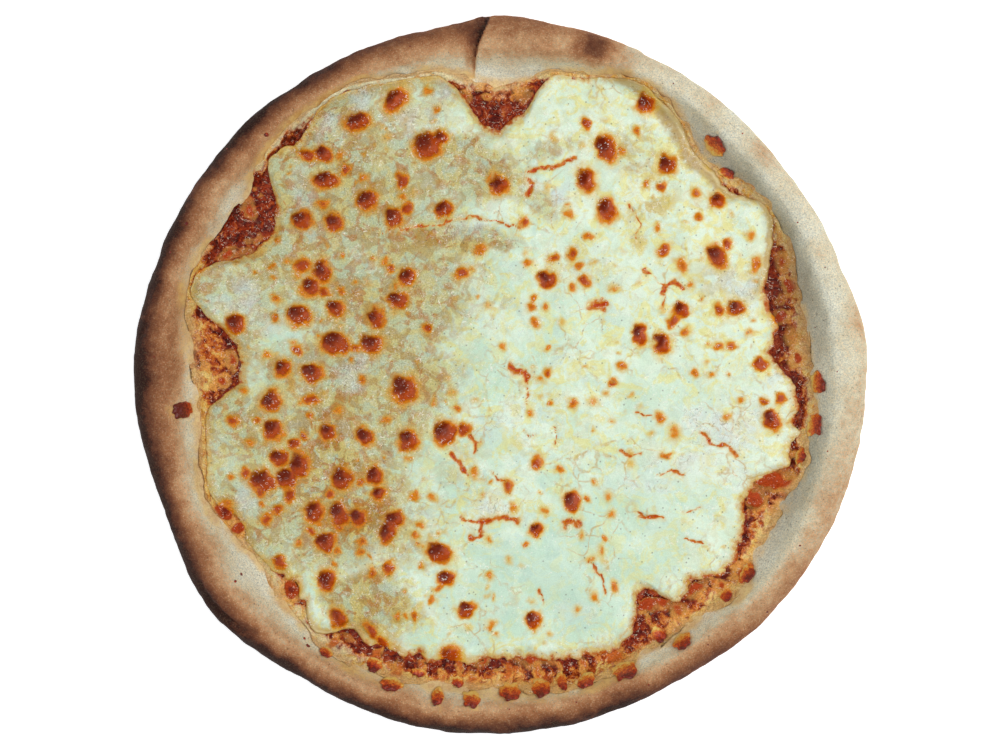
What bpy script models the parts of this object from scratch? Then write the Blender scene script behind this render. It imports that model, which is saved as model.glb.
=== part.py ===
"""A whole cheese pizza, about 30 cm across, uncut.

The dough is one solid: a thin flat disc with a puffed rim. Tomato sauce lies on it as a thin layer
that reaches the foot of the rim, and a sheet of melted cheese with toasted blisters covers the sauce,
apart from bays round the edge where the cheese has drawn back. Small toasted pieces of cheese lie by
themselves on the inner slope of the rim.

The origin is at the middle of the underside, +Z is up. Angles are in degrees, counter-clockwise from +X.
"""

import math

import bmesh
import bpy
import numpy as np
from mathutils import Matrix

MM = 0.001

# Driving dimensions
RIM_OUTER_RADIUS = 144.0 * MM
RIM_FOOT_RADIUS = 121.5 * MM
TOPPING_RADIUS = 126.5 * MM
OILY_MARGIN = 1.6 * MM
RIM_HEIGHT = 19.0 * MM
BASE_THICKNESS = 5.0 * MM
SAUCE_THICKNESS = 1.1 * MM
CHEESE_THICKNESS = 2.6 * MM
GAP = 0.35 * MM
BIT_GAP = 0.65 * MM

# Height of the sauce's mound in a bay, as a share of the bay's depth
SAUCE_MOUND = 0.07

# Shape of the rim's section, as shares of its width and height
RIM_CREST = 0.54
RIM_WIDEST_HEIGHT = 0.28
UNDERSIDE_CURVE = 0.5

# Unevenness: height or depth of the soft lumps, and how far apart they lie
RIM_LUMP = 0.7 * MM
RIM_LUMP_SPACING = 26.0 * MM
RIM_LUMP_SEED = 5
CHEESE_LUMP = 0.55 * MM
CHEESE_LUMP_SPACING = 24.0 * MM
CHEESE_LUMP_SEED = 11
LUMP_WAVES = 7
LUMP_SPREAD = (0.75, 1.4)

# Swellings of the rim's outline, its foot and its height: (angle, half width in degrees, amount in mm)
OUTLINE_SWELLINGS = (
    (0, 20, 5.8),
    (10, 10, 1.6),
    (20, 20, 2.0),
    (80, 20, 1.2),
    (90, 11, 2.2),
    (100, 20, 0.7),
    (120, 20, 0.8),
    (140, 20, 2.7),
    (160, 20, 3.4),
    (180, 20, 5.4),
    (200, 20, 3.3),
    (220, 20, 7.3),
    (240, 20, 2.7),
    (260, 20, 2.6),
    (280, 20, 0.7),
    (320, 20, 3.1),
    (340, 20, 4.7),
)
FOOT_SWELLINGS = (
    (25, 24, 1.5),
    (64, 24, 3.0),
    (90, 16, -4.0),
    (128, 26, 3.0),
    (160, 14, 3.0),
    (187, 20, -2.0),
    (240, 34, 4.0),
    (318, 30, 2.0),
)
HEIGHT_SWELLINGS = (
    (20, 22, 1.5),
    (62, 14, 1.8),
    (84, 10, 3.2),
    (128, 18, 1.4),
    (165, 16, 2.4),
    (214, 18, 2.8),
    (255, 16, -1.4),
    (292, 20, 1.6),
    (338, 16, 2.0),
)

# The dough overlaps itself in a fold across the rim: the side at the smaller angle stands higher.
FOLD_ANGLE = 94.0
FOLD_STEP = 2.6 * MM
FOLD_REACH = 9.0

# How far out the topping reaches, over its even radius: (angle, half width in degrees, amount in mm)
TOPPING_SWELLINGS = (
    (28, 16, 3.0),
    (46, 9, -4.5),
    (64, 14, 6.0),
    (90, 13, -7.0),
    (121, 18, 6.0),
    (135, 12, 4.0),
    (162, 12, 5.0),
    (187, 14, -4.0),
    (203, 9, 1.5),
    (217, 8, -3.0),
    (243, 22, 5.0),
    (284, 14, 3.0),
    (318, 8, 5.0),
    (343, 8, 2.5),
    (353, 6, 3.5),
)

# Bays where the cheese has drawn back and the sauce shows: (angle, half width in degrees, depth in mm)
SAUCE_BAYS = (
    (5, 8, 15.0),
    (18, 12, 10.5),
    (39, 6, 4.5),
    (91, 11, 15.5),
    (130, 7, 5.5),
    (149, 12, 16.5),
    (176, 11, 17.5),
    (209, 7, 5.0),
    (225, 8, 7.5),
    (239, 5, 7.0),
    (248, 12, 9.5),
    (259, 9, 8.0),
    (270, 11, 10.0),
    (280, 11, 8.5),
    (289, 9, 10.5),
    (303, 10, 17.5),
    (316, 8, 12.5),
    (325, 8, 7.0),
    (336, 10, 13.5),
    (346, 4, 5.0),
    (354, 8, 7.5),
)

# Toasted blisters that stand up from the cheese: (x, y, length, width, turn), lengths in mm
BLISTERS = (
    (-38.5, -5.5, 10.5, 10.0, 0),
    (-29.0, 93.0, 11.5, 10.0, 30),
    (-42.0, 112.0, 11.0, 7.0, 55),
    (-57.5, 103.0, 10.0, 6.5, 10),
    (-71.5, 90.5, 7.5, 6.0, 0),
    (-70.5, 79.5, 10.0, 5.5, 5),
    (-53.5, 71.5, 8.0, 7.5, 0),
    (-80.0, 63.5, 7.0, 7.0, 0),
    (-67.0, 62.5, 6.0, 6.0, 0),
    (-43.0, 64.0, 7.0, 8.0, 0),
    (0.0, 77.5, 7.5, 7.0, 0),
    (-22.5, 68.0, 7.5, 6.0, 0),
    (43.5, 92.5, 10.0, 7.5, 110),
    (35.5, 79.5, 10.0, 7.0, 100),
    (68.0, 86.0, 7.5, 7.5, 0),
    (59.5, 110.5, 7.5, 7.5, 0),
    (43.5, 67.5, 9.5, 7.5, 95),
    (88.0, 72.0, 6.5, 6.0, 0),
    (88.5, 48.5, 9.5, 7.0, 120),
    (-72.0, 42.5, 9.0, 7.0, 105),
    (-77.0, 36.0, 7.5, 6.5, 0),
    (-37.5, 40.0, 6.5, 6.5, 0),
    (-41.0, 31.0, 7.5, 7.0, 0),
    (-50.0, 24.0, 8.0, 6.5, 90),
    (-66.5, 27.5, 7.0, 7.0, 0),
    (-81.5, 24.5, 8.5, 7.5, 0),
    (-107.0, 21.0, 7.0, 6.5, 0),
    (-66.5, 13.5, 11.0, 8.0, 170),
    (-51.5, 13.0, 8.5, 7.5, 0),
    (-88.0, 3.5, 7.5, 7.0, 0),
    (-75.5, 1.5, 8.0, 7.5, 0),
    (-92.5, -10.0, 8.0, 8.0, 0),
    (-91.5, -22.0, 8.0, 8.0, 0),
    (-69.5, -22.5, 6.5, 6.5, 0),
    (-54.0, -24.5, 7.5, 6.5, 120),
    (-37.0, -26.0, 9.0, 7.5, 90),
    (-22.0, -23.0, 9.5, 8.5, 60),
    (19.0, 39.5, 7.0, 7.0, 0),
    (-89.5, -33.0, 7.0, 6.0, 0),
    (-81.0, -36.0, 9.0, 8.0, 60),
    (-86.0, -41.0, 8.0, 8.0, 0),
    (-95.5, -42.5, 10.0, 7.5, 0),
    (-63.5, -41.5, 9.0, 8.0, 90),
    (-50.5, -40.0, 6.5, 7.0, 0),
    (-49.0, -47.5, 6.5, 6.0, 0),
    (-75.0, -55.0, 8.0, 7.0, 80),
    (-65.0, -56.0, 8.5, 8.0, 90),
    (-57.0, -57.0, 7.0, 7.0, 0),
    (-70.5, -67.0, 7.5, 7.5, 0),
    (-43.0, -58.5, 7.5, 7.0, 0),
    (-45.5, -63.5, 8.0, 6.0, 80),
    (-70.0, -82.5, 8.5, 7.0, 90),
    (-25.0, -71.5, 10.5, 6.5, 160),
    (-21.5, -81.5, 6.5, 6.0, 0),
    (-13.0, -94.5, 6.5, 6.0, 40),
    (14.0, -99.0, 6.5, 6.5, 0),
    (29.5, -50.5, 7.0, 6.0, 90),
    (15.0, -62.0, 6.0, 6.0, 0),
    (73.5, 27.0, 6.5, 6.0, 0),
    (66.0, 13.0, 8.0, 6.5, 90),
    (57.0, 17.0, 7.5, 5.0, 90),
    (96.0, 27.5, 7.0, 6.0, 0),
    (110.5, -18.0, 8.5, 6.5, 110),
)
BLISTER_RISE = 0.2
BLISTER_ROOT = 1.0 * MM

# Toasted pieces of cheese that lie apart, on the rim's inner slope:
# (angle, radius in mm, length along the rim, width across it, height, turn from the rim's line)
TOASTED_BITS = (
    (41.8, 123.5, 7.0, 4.5, 2.0, 20),
    (47.0, 127.5, 9.5, 6.5, 2.4, 0),
    (186.1, 128.0, 6.5, 8.5, 1.8, 0),
    (237.8, 131.5, 5.5, 4.0, 1.8, 0),
    (246.5, 127.0, 7.0, 6.0, 2.2, 0),
    (250.5, 131.5, 9.5, 5.5, 2.4, 15),
    (254.8, 124.5, 6.0, 4.5, 2.0, 0),
    (259.0, 131.0, 5.0, 8.0, 2.4, 0),
    (262.2, 124.8, 4.5, 5.0, 2.0, 0),
    (265.0, 130.5, 7.5, 7.0, 2.6, 0),
    (271.8, 127.0, 8.0, 7.5, 2.8, 0),
    (277.5, 126.5, 8.0, 7.0, 2.8, 0),
    (281.6, 125.5, 4.0, 8.5, 2.4, 0),
    (286.0, 127.5, 8.5, 5.5, 2.2, 10),
    (293.0, 128.5, 10.0, 7.0, 2.8, 0),
    (301.5, 122.5, 5.0, 8.5, 2.4, 25),
    (304.6, 129.5, 8.0, 5.5, 2.6, 0),
    (316.0, 127.0, 6.0, 5.5, 2.2, 0),
    (321.6, 127.5, 10.0, 6.0, 2.6, 10),
    (345.3, 126.0, 6.5, 4.5, 2.0, 0),
    (351.2, 128.5, 9.0, 6.5, 2.4, 0),
    (358.8, 128.5, 9.0, 5.5, 2.4, 10),
)

# Finishes
DOUGH_COLOUR = (0.56, 0.36, 0.20)
SAUCE_COLOUR = (0.42, 0.07, 0.02)
CHEESE_COLOUR = (0.82, 0.82, 0.58)
TOASTED_COLOUR = (0.38, 0.10, 0.02)
DOUGH_ROUGHNESS = 0.8
SAUCE_ROUGHNESS = 0.35
CHEESE_ROUGHNESS = 0.4
TOASTED_ROUGHNESS = 0.45
SHARP_ANGLE = 40.0

# How finely the pieces are shaped: steps round the axis, then rings as shares of each radius
TURN_STEPS = 100
BASE_RINGS = (0.6, 0.93)
INNER_SLOPE_RINGS = 8
OUTER_TURNS = (20, 40, 58, 74, 90)
UNDER_TURNS = (30, 60, 90)

# Sauce rings run from 0 to 1 at the cheese's edge and on to 2 at the sauce's own edge.
SAUCE_TOP_RINGS = (0, 0.6, 0.95, 1.08, 1.22, 1.36, 1.5, 1.64, 1.82)
SAUCE_BOTTOM_RINGS = (2, 1.82, 1.6, 1.4, 1.2, 1.0, 0.6, 0)

# Cheese rings run from 0 to 1 at the cheese's edge; its lip has the height of each ring as a share.
CHEESE_TOP_RINGS = (0, 0.09, 0.2, 0.31, 0.42, 0.53, 0.64, 0.74, 0.83, 0.91, 0.96)
CHEESE_LIP = ((0.985, 0.88), (1, 0.5))
CHEESE_BOTTOM_RINGS = (0.985, 0.955, 0.92, 0.5, 0)
BLISTER_SEGMENTS, BLISTER_RINGS = 8, 4
BIT_SEGMENTS, BIT_RINGS = 8, 6
MERGE_DISTANCE = 0.01 * MM


def swelling(angle, table):
    """Sum of the soft humps in a table of (angle, half width, amount), all for an angle in degrees."""
    total = np.zeros_like(np.asarray(angle, float))
    for centre, half_width, amount in table:
        away = np.abs((angle - centre + 180) % 360 - 180) / half_width
        total += np.where(away < 1, amount * (0.5 + 0.5 * np.cos(np.pi * away)), 0)
    return total


def lumps(x, y, spacing, seed):
    """Soft seeded unevenness from about -1 to 1: a few plane waves in unlike directions."""
    draw = np.random.default_rng(seed)
    total = np.zeros_like(np.asarray(x, float))
    for _ in range(LUMP_WAVES):
        heading, phase = draw.uniform(0, 2 * math.pi, 2)
        along = x * math.cos(heading) + y * math.sin(heading)
        total += np.cos(2 * math.pi * along / (spacing * draw.uniform(*LUMP_SPREAD)) + phase)
    return total / math.sqrt(LUMP_WAVES)


def smooth(share):
    """Eases from 0 to 1."""
    share = np.clip(share, 0, 1)
    return share * share * (3 - 2 * share)


def polar(x, y):
    return np.hypot(x, y), np.degrees(np.arctan2(y, x)) % 360


def outer_radius(angle):
    return RIM_OUTER_RADIUS + MM * swelling(angle, OUTLINE_SWELLINGS)


def foot_radius(angle):
    return RIM_FOOT_RADIUS + MM * swelling(angle, FOOT_SWELLINGS)


def rim_height(angle):
    past_fold = (angle - FOLD_ANGLE + 180) % 360 - 180
    in_reach = (past_fold > 0) & (past_fold < FOLD_REACH)
    drop = np.where(in_reach, FOLD_STEP * (1 - past_fold / FOLD_REACH), 0)
    return RIM_HEIGHT + MM * swelling(angle, HEIGHT_SWELLINGS) - drop


def rim_rise(share):
    """Height of the rim's upper side over the base, as a share, from its foot (0) to its widest (1)."""
    inner = smooth(share / RIM_CREST)
    beyond = np.clip((share - RIM_CREST) / (1 - RIM_CREST), 0, 1)
    outer = RIM_WIDEST_HEIGHT + (1 - RIM_WIDEST_HEIGHT) * np.sqrt(1 - beyond**2)
    return np.where(share < RIM_CREST, inner, outer)


def rim_unevenness(x, y, share):
    return RIM_LUMP * lumps(x, y, RIM_LUMP_SPACING, RIM_LUMP_SEED) * smooth(share / RIM_CREST)


def dough_top(x, y):
    """Height of the dough's upper side, from the middle to the crest of the rim."""
    radius, angle = polar(x, y)
    foot = foot_radius(angle)
    share = (radius - foot) / (outer_radius(angle) - foot)
    rise = rim_rise(np.clip(share, 0, 1))
    return BASE_THICKNESS + (rim_height(angle) - BASE_THICKNESS) * rise + rim_unevenness(x, y, share)


def sauce_edge(angle):
    return TOPPING_RADIUS + MM * swelling(angle, TOPPING_SWELLINGS)


def cheese_edge(angle):
    return sauce_edge(angle) - OILY_MARGIN - MM * swelling(angle, SAUCE_BAYS)


def sauce_depth(x, y):
    """Thickness of the sauce: thin under the cheese, mounded in the bays, and nothing at its edge."""
    radius, angle = polar(x, y)
    bare = sauce_edge(angle) - cheese_edge(angle)
    into_bay = np.clip((radius - cheese_edge(angle)) / bare, 0, 1)
    thin_edge = 1 - smooth(into_bay)
    return SAUCE_THICKNESS * thin_edge + SAUCE_MOUND * bare * np.sin(np.pi * into_bay)


def sauce_top(x, y):
    return dough_top(x, y) + GAP + sauce_depth(x, y)


def cheese_underside(x, y):
    return dough_top(x, y) + GAP + SAUCE_THICKNESS + GAP


def cheese_top(x, y):
    """Height of the cheese's upper side away from its rounded lip."""
    uneven = CHEESE_LUMP * lumps(x, y, CHEESE_LUMP_SPACING, CHEESE_LUMP_SEED)
    return cheese_underside(x, y) + CHEESE_THICKNESS + uneven


def finish(name, colour, roughness):
    material = bpy.data.materials.new(name)
    material.use_nodes = True
    shader = material.node_tree.nodes["Principled BSDF"]
    shader.inputs["Base Color"].default_value = (*colour, 1)
    shader.inputs["Roughness"].default_value = roughness
    shader.inputs["Metallic"].default_value = 0
    return material


def as_mesh(piece):
    """Puts the evaluated mesh in place of a piece's mesh and its modifiers."""
    graph = bpy.context.evaluated_depsgraph_get()
    made = bpy.data.meshes.new_from_object(piece.evaluated_get(graph))
    piece.modifiers.clear()
    piece.data = made


def turned(name, profile, collection, material):
    """A closed solid turned from a profile of (radius, height) points, top to bottom, on the Z axis."""
    mesh = bpy.data.meshes.new(name)
    edges = [(i, i + 1) for i in range(len(profile) - 1)]
    mesh.from_pydata([(radius, 0, height) for radius, height in profile], edges, [])
    piece = bpy.data.objects.new(name, mesh)
    collection.objects.link(piece)
    screw = piece.modifiers.new("Turn", "SCREW")
    screw.axis = "Z"
    screw.steps = screw.render_steps = TURN_STEPS
    screw.use_merge_vertices = True
    screw.merge_threshold = MERGE_DISTANCE
    as_mesh(piece)
    piece.data.materials.append(material)
    return piece


def reshape(piece, rule):
    """Moves the vertices of a mesh: rule takes arrays of x, y and z, and gives the new ones."""
    points = np.empty(len(piece.data.vertices) * 3)
    piece.data.vertices.foreach_get("co", points)
    x, y, z = points.reshape(-1, 3).T
    piece.data.vertices.foreach_set("co", np.stack(rule(x, y, z), axis=1).ravel())
    piece.data.update()


def spread_out(x, y, new_radius):
    """The same directions from the axis at new radii."""
    radius = np.hypot(x, y)
    scale = np.where(radius > 0, new_radius / np.maximum(radius, MERGE_DISTANCE), 0)
    return x * scale, y * scale


def build_crust(collection):
    """The dough, turned with an even rim and then given its outline, lumps and fold."""
    width = RIM_OUTER_RADIUS - RIM_FOOT_RADIUS
    height = RIM_HEIGHT - BASE_THICKNESS
    profile = [(0, BASE_THICKNESS)]
    profile += [(share * RIM_FOOT_RADIUS, BASE_THICKNESS) for share in BASE_RINGS]
    inner_shares = np.linspace(0, RIM_CREST, INNER_SLOPE_RINGS)
    outer_shares = RIM_CREST + (1 - RIM_CREST) * np.sin(np.radians(OUTER_TURNS))
    for share in (*inner_shares, *outer_shares):
        rise = float(rim_rise(share))
        profile.append((RIM_FOOT_RADIUS + width * share, BASE_THICKNESS + height * rise))
    widest = BASE_THICKNESS + height * RIM_WIDEST_HEIGHT
    for turn in np.radians(UNDER_TURNS):
        inward = UNDERSIDE_CURVE * width * (1 - math.cos(turn))
        profile.append((RIM_OUTER_RADIUS - inward, widest * (1 - math.sin(turn))))
    profile.append((0, 0))
    crust = turned("crust", profile, collection, finish("baked_dough", DOUGH_COLOUR, DOUGH_ROUGHNESS))

    def bake(x, y, z):
        radius, angle = polar(x, y)
        share = (radius - RIM_FOOT_RADIUS) / width
        foot, outer = foot_radius(angle), outer_radius(angle)
        on_base = radius * foot / RIM_FOOT_RADIUS
        x, y = spread_out(x, y, np.where(share > 0, foot + share * (outer - foot), on_base))
        on_rim = (share > 0) & (z > BASE_THICKNESS)
        risen = (z - BASE_THICKNESS) * (rim_height(angle) - BASE_THICKNESS) / height
        raised = BASE_THICKNESS + risen + rim_unevenness(x, y, share)
        return x, y, np.where(on_rim, raised, z)

    reshape(crust, bake)
    return crust


def build_sauce(collection):
    """The sauce, thin under the cheese and mounded where it shows."""
    profile = [(ring, 1) for ring in SAUCE_TOP_RINGS] + [(ring, 0) for ring in SAUCE_BOTTOM_RINGS]
    sauce = turned("sauce", profile, collection, finish("tomato_sauce", SAUCE_COLOUR, SAUCE_ROUGHNESS))

    def spread(x, y, z):
        ring, angle = polar(x, y)
        cheese, edge = cheese_edge(angle), sauce_edge(angle)
        radius = np.where(ring < 1, ring * cheese, cheese + (ring - 1) * (edge - cheese))
        x, y = spread_out(x, y, radius)
        return x, y, dough_top(x, y) + GAP + z * sauce_depth(x, y)

    reshape(sauce, spread)


def build_cheese(collection):
    """The melted sheet with its rounded lip, joined with its blisters."""
    profile = [(ring, 1) for ring in CHEESE_TOP_RINGS] + list(CHEESE_LIP)
    profile += [(ring, 0) for ring in CHEESE_BOTTOM_RINGS]
    material = finish("melted_cheese", CHEESE_COLOUR, CHEESE_ROUGHNESS)
    cheese = turned("cheese", profile, collection, material)

    def melt(x, y, z):
        ring, angle = polar(x, y)
        x, y = spread_out(x, y, ring * cheese_edge(angle))
        underside = cheese_underside(x, y)
        return x, y, underside + z * (cheese_top(x, y) - underside)

    reshape(cheese, melt)
    join_blisters(cheese)


def flat_ball(name, length, width, place, segments, rings):
    """A ball of unit height, squashed to a length and a width, and put where the matrix says."""
    ball = bmesh.new()
    bmesh.ops.create_uvsphere(ball, u_segments=segments, v_segments=rings, radius=0.5)
    bmesh.ops.scale(ball, vec=(length, width, 1), verts=ball.verts)
    bmesh.ops.transform(ball, matrix=place, verts=ball.verts)
    piece = bpy.data.objects.new(name, bpy.data.meshes.new(name))
    ball.to_mesh(piece.data)
    ball.free()
    return piece


def add_dome(number, blister, domes):
    """The dome of one blister, rising from the cheese's own upper side."""
    x0, y0, length, width, turn = blister
    place = Matrix.Translation((x0 * MM, y0 * MM, 0)) @ Matrix.Rotation(math.radians(turn), 4, "Z")
    rise = BLISTER_RISE * MM * (length + width) / 2
    dome = flat_ball(f"dome_{number}", length * MM, width * MM, place, BLISTER_SEGMENTS, BLISTER_RINGS)

    def swell(x, y, z):
        return x, y, cheese_top(x, y) + 2 * z * np.where(z > 0, rise, BLISTER_ROOT)

    reshape(dome, swell)
    domes.objects.link(dome)


def join_blisters(cheese):
    """Fuses a low dome to the sheet for each blister, then removes the domes."""
    domes = bpy.data.collections.new("blister_domes")
    bpy.context.scene.collection.children.link(domes)
    for number, blister in enumerate(BLISTERS):
        add_dome(number, blister, domes)
    union = cheese.modifiers.new("Blisters", "BOOLEAN")
    union.operation = "UNION"
    union.operand_type = "COLLECTION"
    union.collection = domes
    union.solver = "MANIFOLD"
    bpy.context.view_layer.update()
    as_mesh(cheese)
    for dome in list(domes.objects):
        bpy.data.objects.remove(dome)
    bpy.data.collections.remove(domes)


def build_bit(number, bit, collection, material):
    """One toasted piece: a dome whose underside follows the slope that it lies on."""
    angle, radius, length, width, height, turn = bit
    heading = math.radians(angle)
    x0, y0 = radius * MM * math.cos(heading), radius * MM * math.sin(heading)
    along_rim = Matrix.Rotation(heading + math.pi / 2 + math.radians(turn), 4, "Z")
    place = Matrix.Translation((x0, y0, 0)) @ along_rim
    name = f"toasted_bit_{number:02d}"
    piece = flat_ball(name, length * MM, width * MM, place, BIT_SEGMENTS, BIT_RINGS)
    piece.data.materials.append(material)
    collection.objects.link(piece)

    def settle(x, y, z):
        return x, y, sauce_top(x, y) + BIT_GAP + np.where(z > 0, 2 * z * height * MM, 0)

    reshape(piece, settle)


def centre_on_axis(collection, crust):
    """Moves every piece so that the box of the crust has its middle on the Z axis."""
    points = np.array([vertex.co for vertex in crust.data.vertices])
    middle = (points.min(axis=0) + points.max(axis=0)) / 2
    for piece in collection.objects:
        piece.data.transform(Matrix.Translation((-middle[0], -middle[1], 0)))


def main():
    for piece in list(bpy.data.objects):
        bpy.data.objects.remove(piece)
    pizza = bpy.data.collections.new("cheese_pizza")
    bpy.context.scene.collection.children.link(pizza)
    crust = build_crust(pizza)
    build_sauce(pizza)
    build_cheese(pizza)
    toasted = finish("toasted_cheese", TOASTED_COLOUR, TOASTED_ROUGHNESS)
    for number, bit in enumerate(TOASTED_BITS, start=1):
        build_bit(number, bit, pizza, toasted)
    centre_on_axis(pizza, crust)
    for piece in pizza.objects:
        piece.data.shade_smooth()
        piece.data.set_sharp_from_angle(angle=math.radians(SHARP_ANGLE))


main()
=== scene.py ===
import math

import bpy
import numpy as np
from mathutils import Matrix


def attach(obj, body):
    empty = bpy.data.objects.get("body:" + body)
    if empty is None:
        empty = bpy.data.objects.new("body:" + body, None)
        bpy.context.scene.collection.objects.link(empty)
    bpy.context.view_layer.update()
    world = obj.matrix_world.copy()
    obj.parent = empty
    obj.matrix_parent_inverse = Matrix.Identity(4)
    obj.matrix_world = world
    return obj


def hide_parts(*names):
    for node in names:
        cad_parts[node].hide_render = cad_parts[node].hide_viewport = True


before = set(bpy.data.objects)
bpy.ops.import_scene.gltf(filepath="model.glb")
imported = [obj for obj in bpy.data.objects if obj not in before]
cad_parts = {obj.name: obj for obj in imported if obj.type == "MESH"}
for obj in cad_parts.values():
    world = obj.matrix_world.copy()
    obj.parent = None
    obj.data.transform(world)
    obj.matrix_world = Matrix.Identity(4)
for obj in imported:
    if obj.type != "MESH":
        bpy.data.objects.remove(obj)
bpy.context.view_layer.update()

# A whole cheese pizza seen from straight above: puffed browned crust, sauce in the bays round the edge,
# a melted sheet of cheese with toasted blisters, and small toasted pieces at the foot of the rim.
# Lengths in the tables are in millimetres, angles in degrees counter-clockwise from +X.

MM = 0.001

# Form of the solids, as in the part's own source
RIM_OUTER_RADIUS = 144
RIM_FOOT_RADIUS = 121.5
TOPPING_RADIUS = 126.5
OILY_MARGIN = 1.6
RIM_HEIGHT = 19
BASE_THICKNESS = 5
SAUCE_THICKNESS = 1.1
CHEESE_THICKNESS = 2.6
GAP = 0.35
SAUCE_MOUND = 0.07
RIM_CREST = 0.54
RIM_WIDEST_HEIGHT = 0.28
UNDERSIDE_CURVE = 0.5
RIM_LUMP, RIM_LUMP_SPACING, RIM_LUMP_SEED = 0.7, 26, 5
CHEESE_LUMP, CHEESE_LUMP_SPACING, CHEESE_LUMP_SEED = 0.55, 24, 11
LUMP_WAVES = 7
LUMP_SPREAD = (0.75, 1.4)
CAD_TURN_STEPS = 100
OUTLINE_SWELLINGS = (
    (0, 20, 5.8), (10, 10, 1.6), (20, 20, 2), (80, 20, 1.2), (90, 11, 2.2), (100, 20, 0.7),
    (120, 20, 0.8), (140, 20, 2.7), (160, 20, 3.4), (180, 20, 5.4), (200, 20, 3.3), (220, 20, 7.3),
    (240, 20, 2.7), (260, 20, 2.6), (280, 20, 0.7), (320, 20, 3.1), (340, 20, 4.7),
)
FOOT_SWELLINGS = (
    (25, 24, 1.5), (64, 24, 3), (90, 16, -4), (128, 26, 3), (160, 14, 3), (187, 20, -2), (240, 34, 4),
    (318, 30, 2),
)
HEIGHT_SWELLINGS = (
    (20, 22, 1.5), (62, 14, 1.8), (84, 10, 3.2), (128, 18, 1.4), (165, 16, 2.4), (214, 18, 2.8),
    (255, 16, -1.4), (292, 20, 1.6), (338, 16, 2),
)
FOLD_ANGLE, FOLD_STEP, FOLD_REACH = 94, 2.6, 9
TOPPING_SWELLINGS = (
    (28, 16, 3), (46, 9, -4.5), (64, 14, 6), (90, 13, -7), (121, 18, 6), (135, 12, 4), (162, 12, 5),
    (187, 14, -4), (203, 9, 1.5), (217, 8, -3), (243, 22, 5), (284, 14, 3), (318, 8, 5), (343, 8, 2.5),
    (353, 6, 3.5),
)
SAUCE_BAYS = (
    (5, 8, 15), (18, 12, 10.5), (39, 6, 4.5), (91, 11, 15.5), (130, 7, 5.5), (149, 12, 16.5),
    (176, 11, 17.5), (209, 7, 5), (225, 8, 7.5), (239, 5, 7), (248, 12, 9.5), (259, 9, 8), (270, 11, 10),
    (280, 11, 8.5), (289, 9, 10.5), (303, 10, 17.5), (316, 8, 12.5), (325, 8, 7), (336, 10, 13.5),
    (346, 4, 5), (354, 8, 7.5),
)
WIDE_BAYS = ((91, 12, 15), (149, 13, 15), (176, 12, 15), (336, 11, 10))
DRAWN_BACK = ((11.5, 6, 5.5), (296.5, 5, 4), (311.5, 4, 4), (183, 5, 2), (274, 17, 2.4))

# Toasted blisters: (x, y, length, width, turn), all of full strength
BLISTERS = (
    (-38.5, -5.5, 10.5, 10, 0), (-29, 93, 11.5, 10, 30), (-42, 112, 11, 7, 55), (-57.5, 103, 10, 6.5, 10),
    (-71.5, 90.5, 7.5, 6, 0), (-70.5, 79.5, 10, 5.5, 5), (-53.5, 71.5, 8, 7.5, 0), (-80, 63.5, 7, 7, 0),
    (-67, 62.5, 6, 6, 0), (-43, 64, 7, 8, 0), (0, 77.5, 7.5, 7, 0), (-22.5, 68, 7.5, 6, 0),
    (43.5, 92.5, 10, 7.5, 110), (35.5, 79.5, 10, 7, 100), (68, 86, 7.5, 7.5, 0),
    (59.5, 110.5, 7.5, 7.5, 0), (43.5, 67.5, 9.5, 7.5, 95), (88, 72, 6.5, 6, 0),
    (88.5, 48.5, 9.5, 7, 120), (-72, 42.5, 9, 7, 105), (-77, 36, 7.5, 6.5, 0), (-37.5, 40, 6.5, 6.5, 0),
    (-41, 31, 7.5, 7, 0), (-50, 24, 8, 6.5, 90), (-66.5, 27.5, 7, 7, 0), (-81.5, 24.5, 8.5, 7.5, 0),
    (-107, 21, 7, 6.5, 0), (-66.5, 13.5, 11, 8, 170), (-51.5, 13, 8.5, 7.5, 0), (-88, 3.5, 7.5, 7, 0),
    (-75.5, 1.5, 8, 7.5, 0), (-92.5, -10, 8, 8, 0), (-91.5, -22, 8, 8, 0), (-69.5, -22.5, 6.5, 6.5, 0),
    (-54, -24.5, 7.5, 6.5, 120), (-37, -26, 9, 7.5, 90), (-22, -23, 9.5, 8.5, 60), (19, 39.5, 7, 7, 0),
    (-89.5, -33, 7, 6, 0), (-81, -36, 9, 8, 60), (-86, -41, 8, 8, 0), (-95.5, -42.5, 10, 7.5, 0),
    (-63.5, -41.5, 9, 8, 90), (-50.5, -40, 6.5, 7, 0), (-49, -47.5, 6.5, 6, 0), (-75, -55, 8, 7, 80),
    (-65, -56, 8.5, 8, 90), (-57, -57, 7, 7, 0), (-70.5, -67, 7.5, 7.5, 0), (-43, -58.5, 7.5, 7, 0),
    (-45.5, -63.5, 8, 6, 80), (-70, -82.5, 8.5, 7, 90), (-25, -71.5, 10.5, 6.5, 160),
    (-21.5, -81.5, 6.5, 6, 0), (-13, -94.5, 6.5, 6, 40), (14, -99, 6.5, 6.5, 0), (29.5, -50.5, 7, 6, 90),
    (15, -62, 6, 6, 0), (73.5, 27, 6.5, 6, 0), (66, 13, 8, 6.5, 90), (57, 17, 7.5, 5, 90),
    (96, 27.5, 7, 6, 0), (110.5, -18, 8.5, 6.5, 110),
)
BLISTER_RISE = 0.17
# How far the scorched middle of a blister moves toward the upper left, as painted shade on the side away from
# the light
CHAR_SHADE_SHIFT = 0.09

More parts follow.
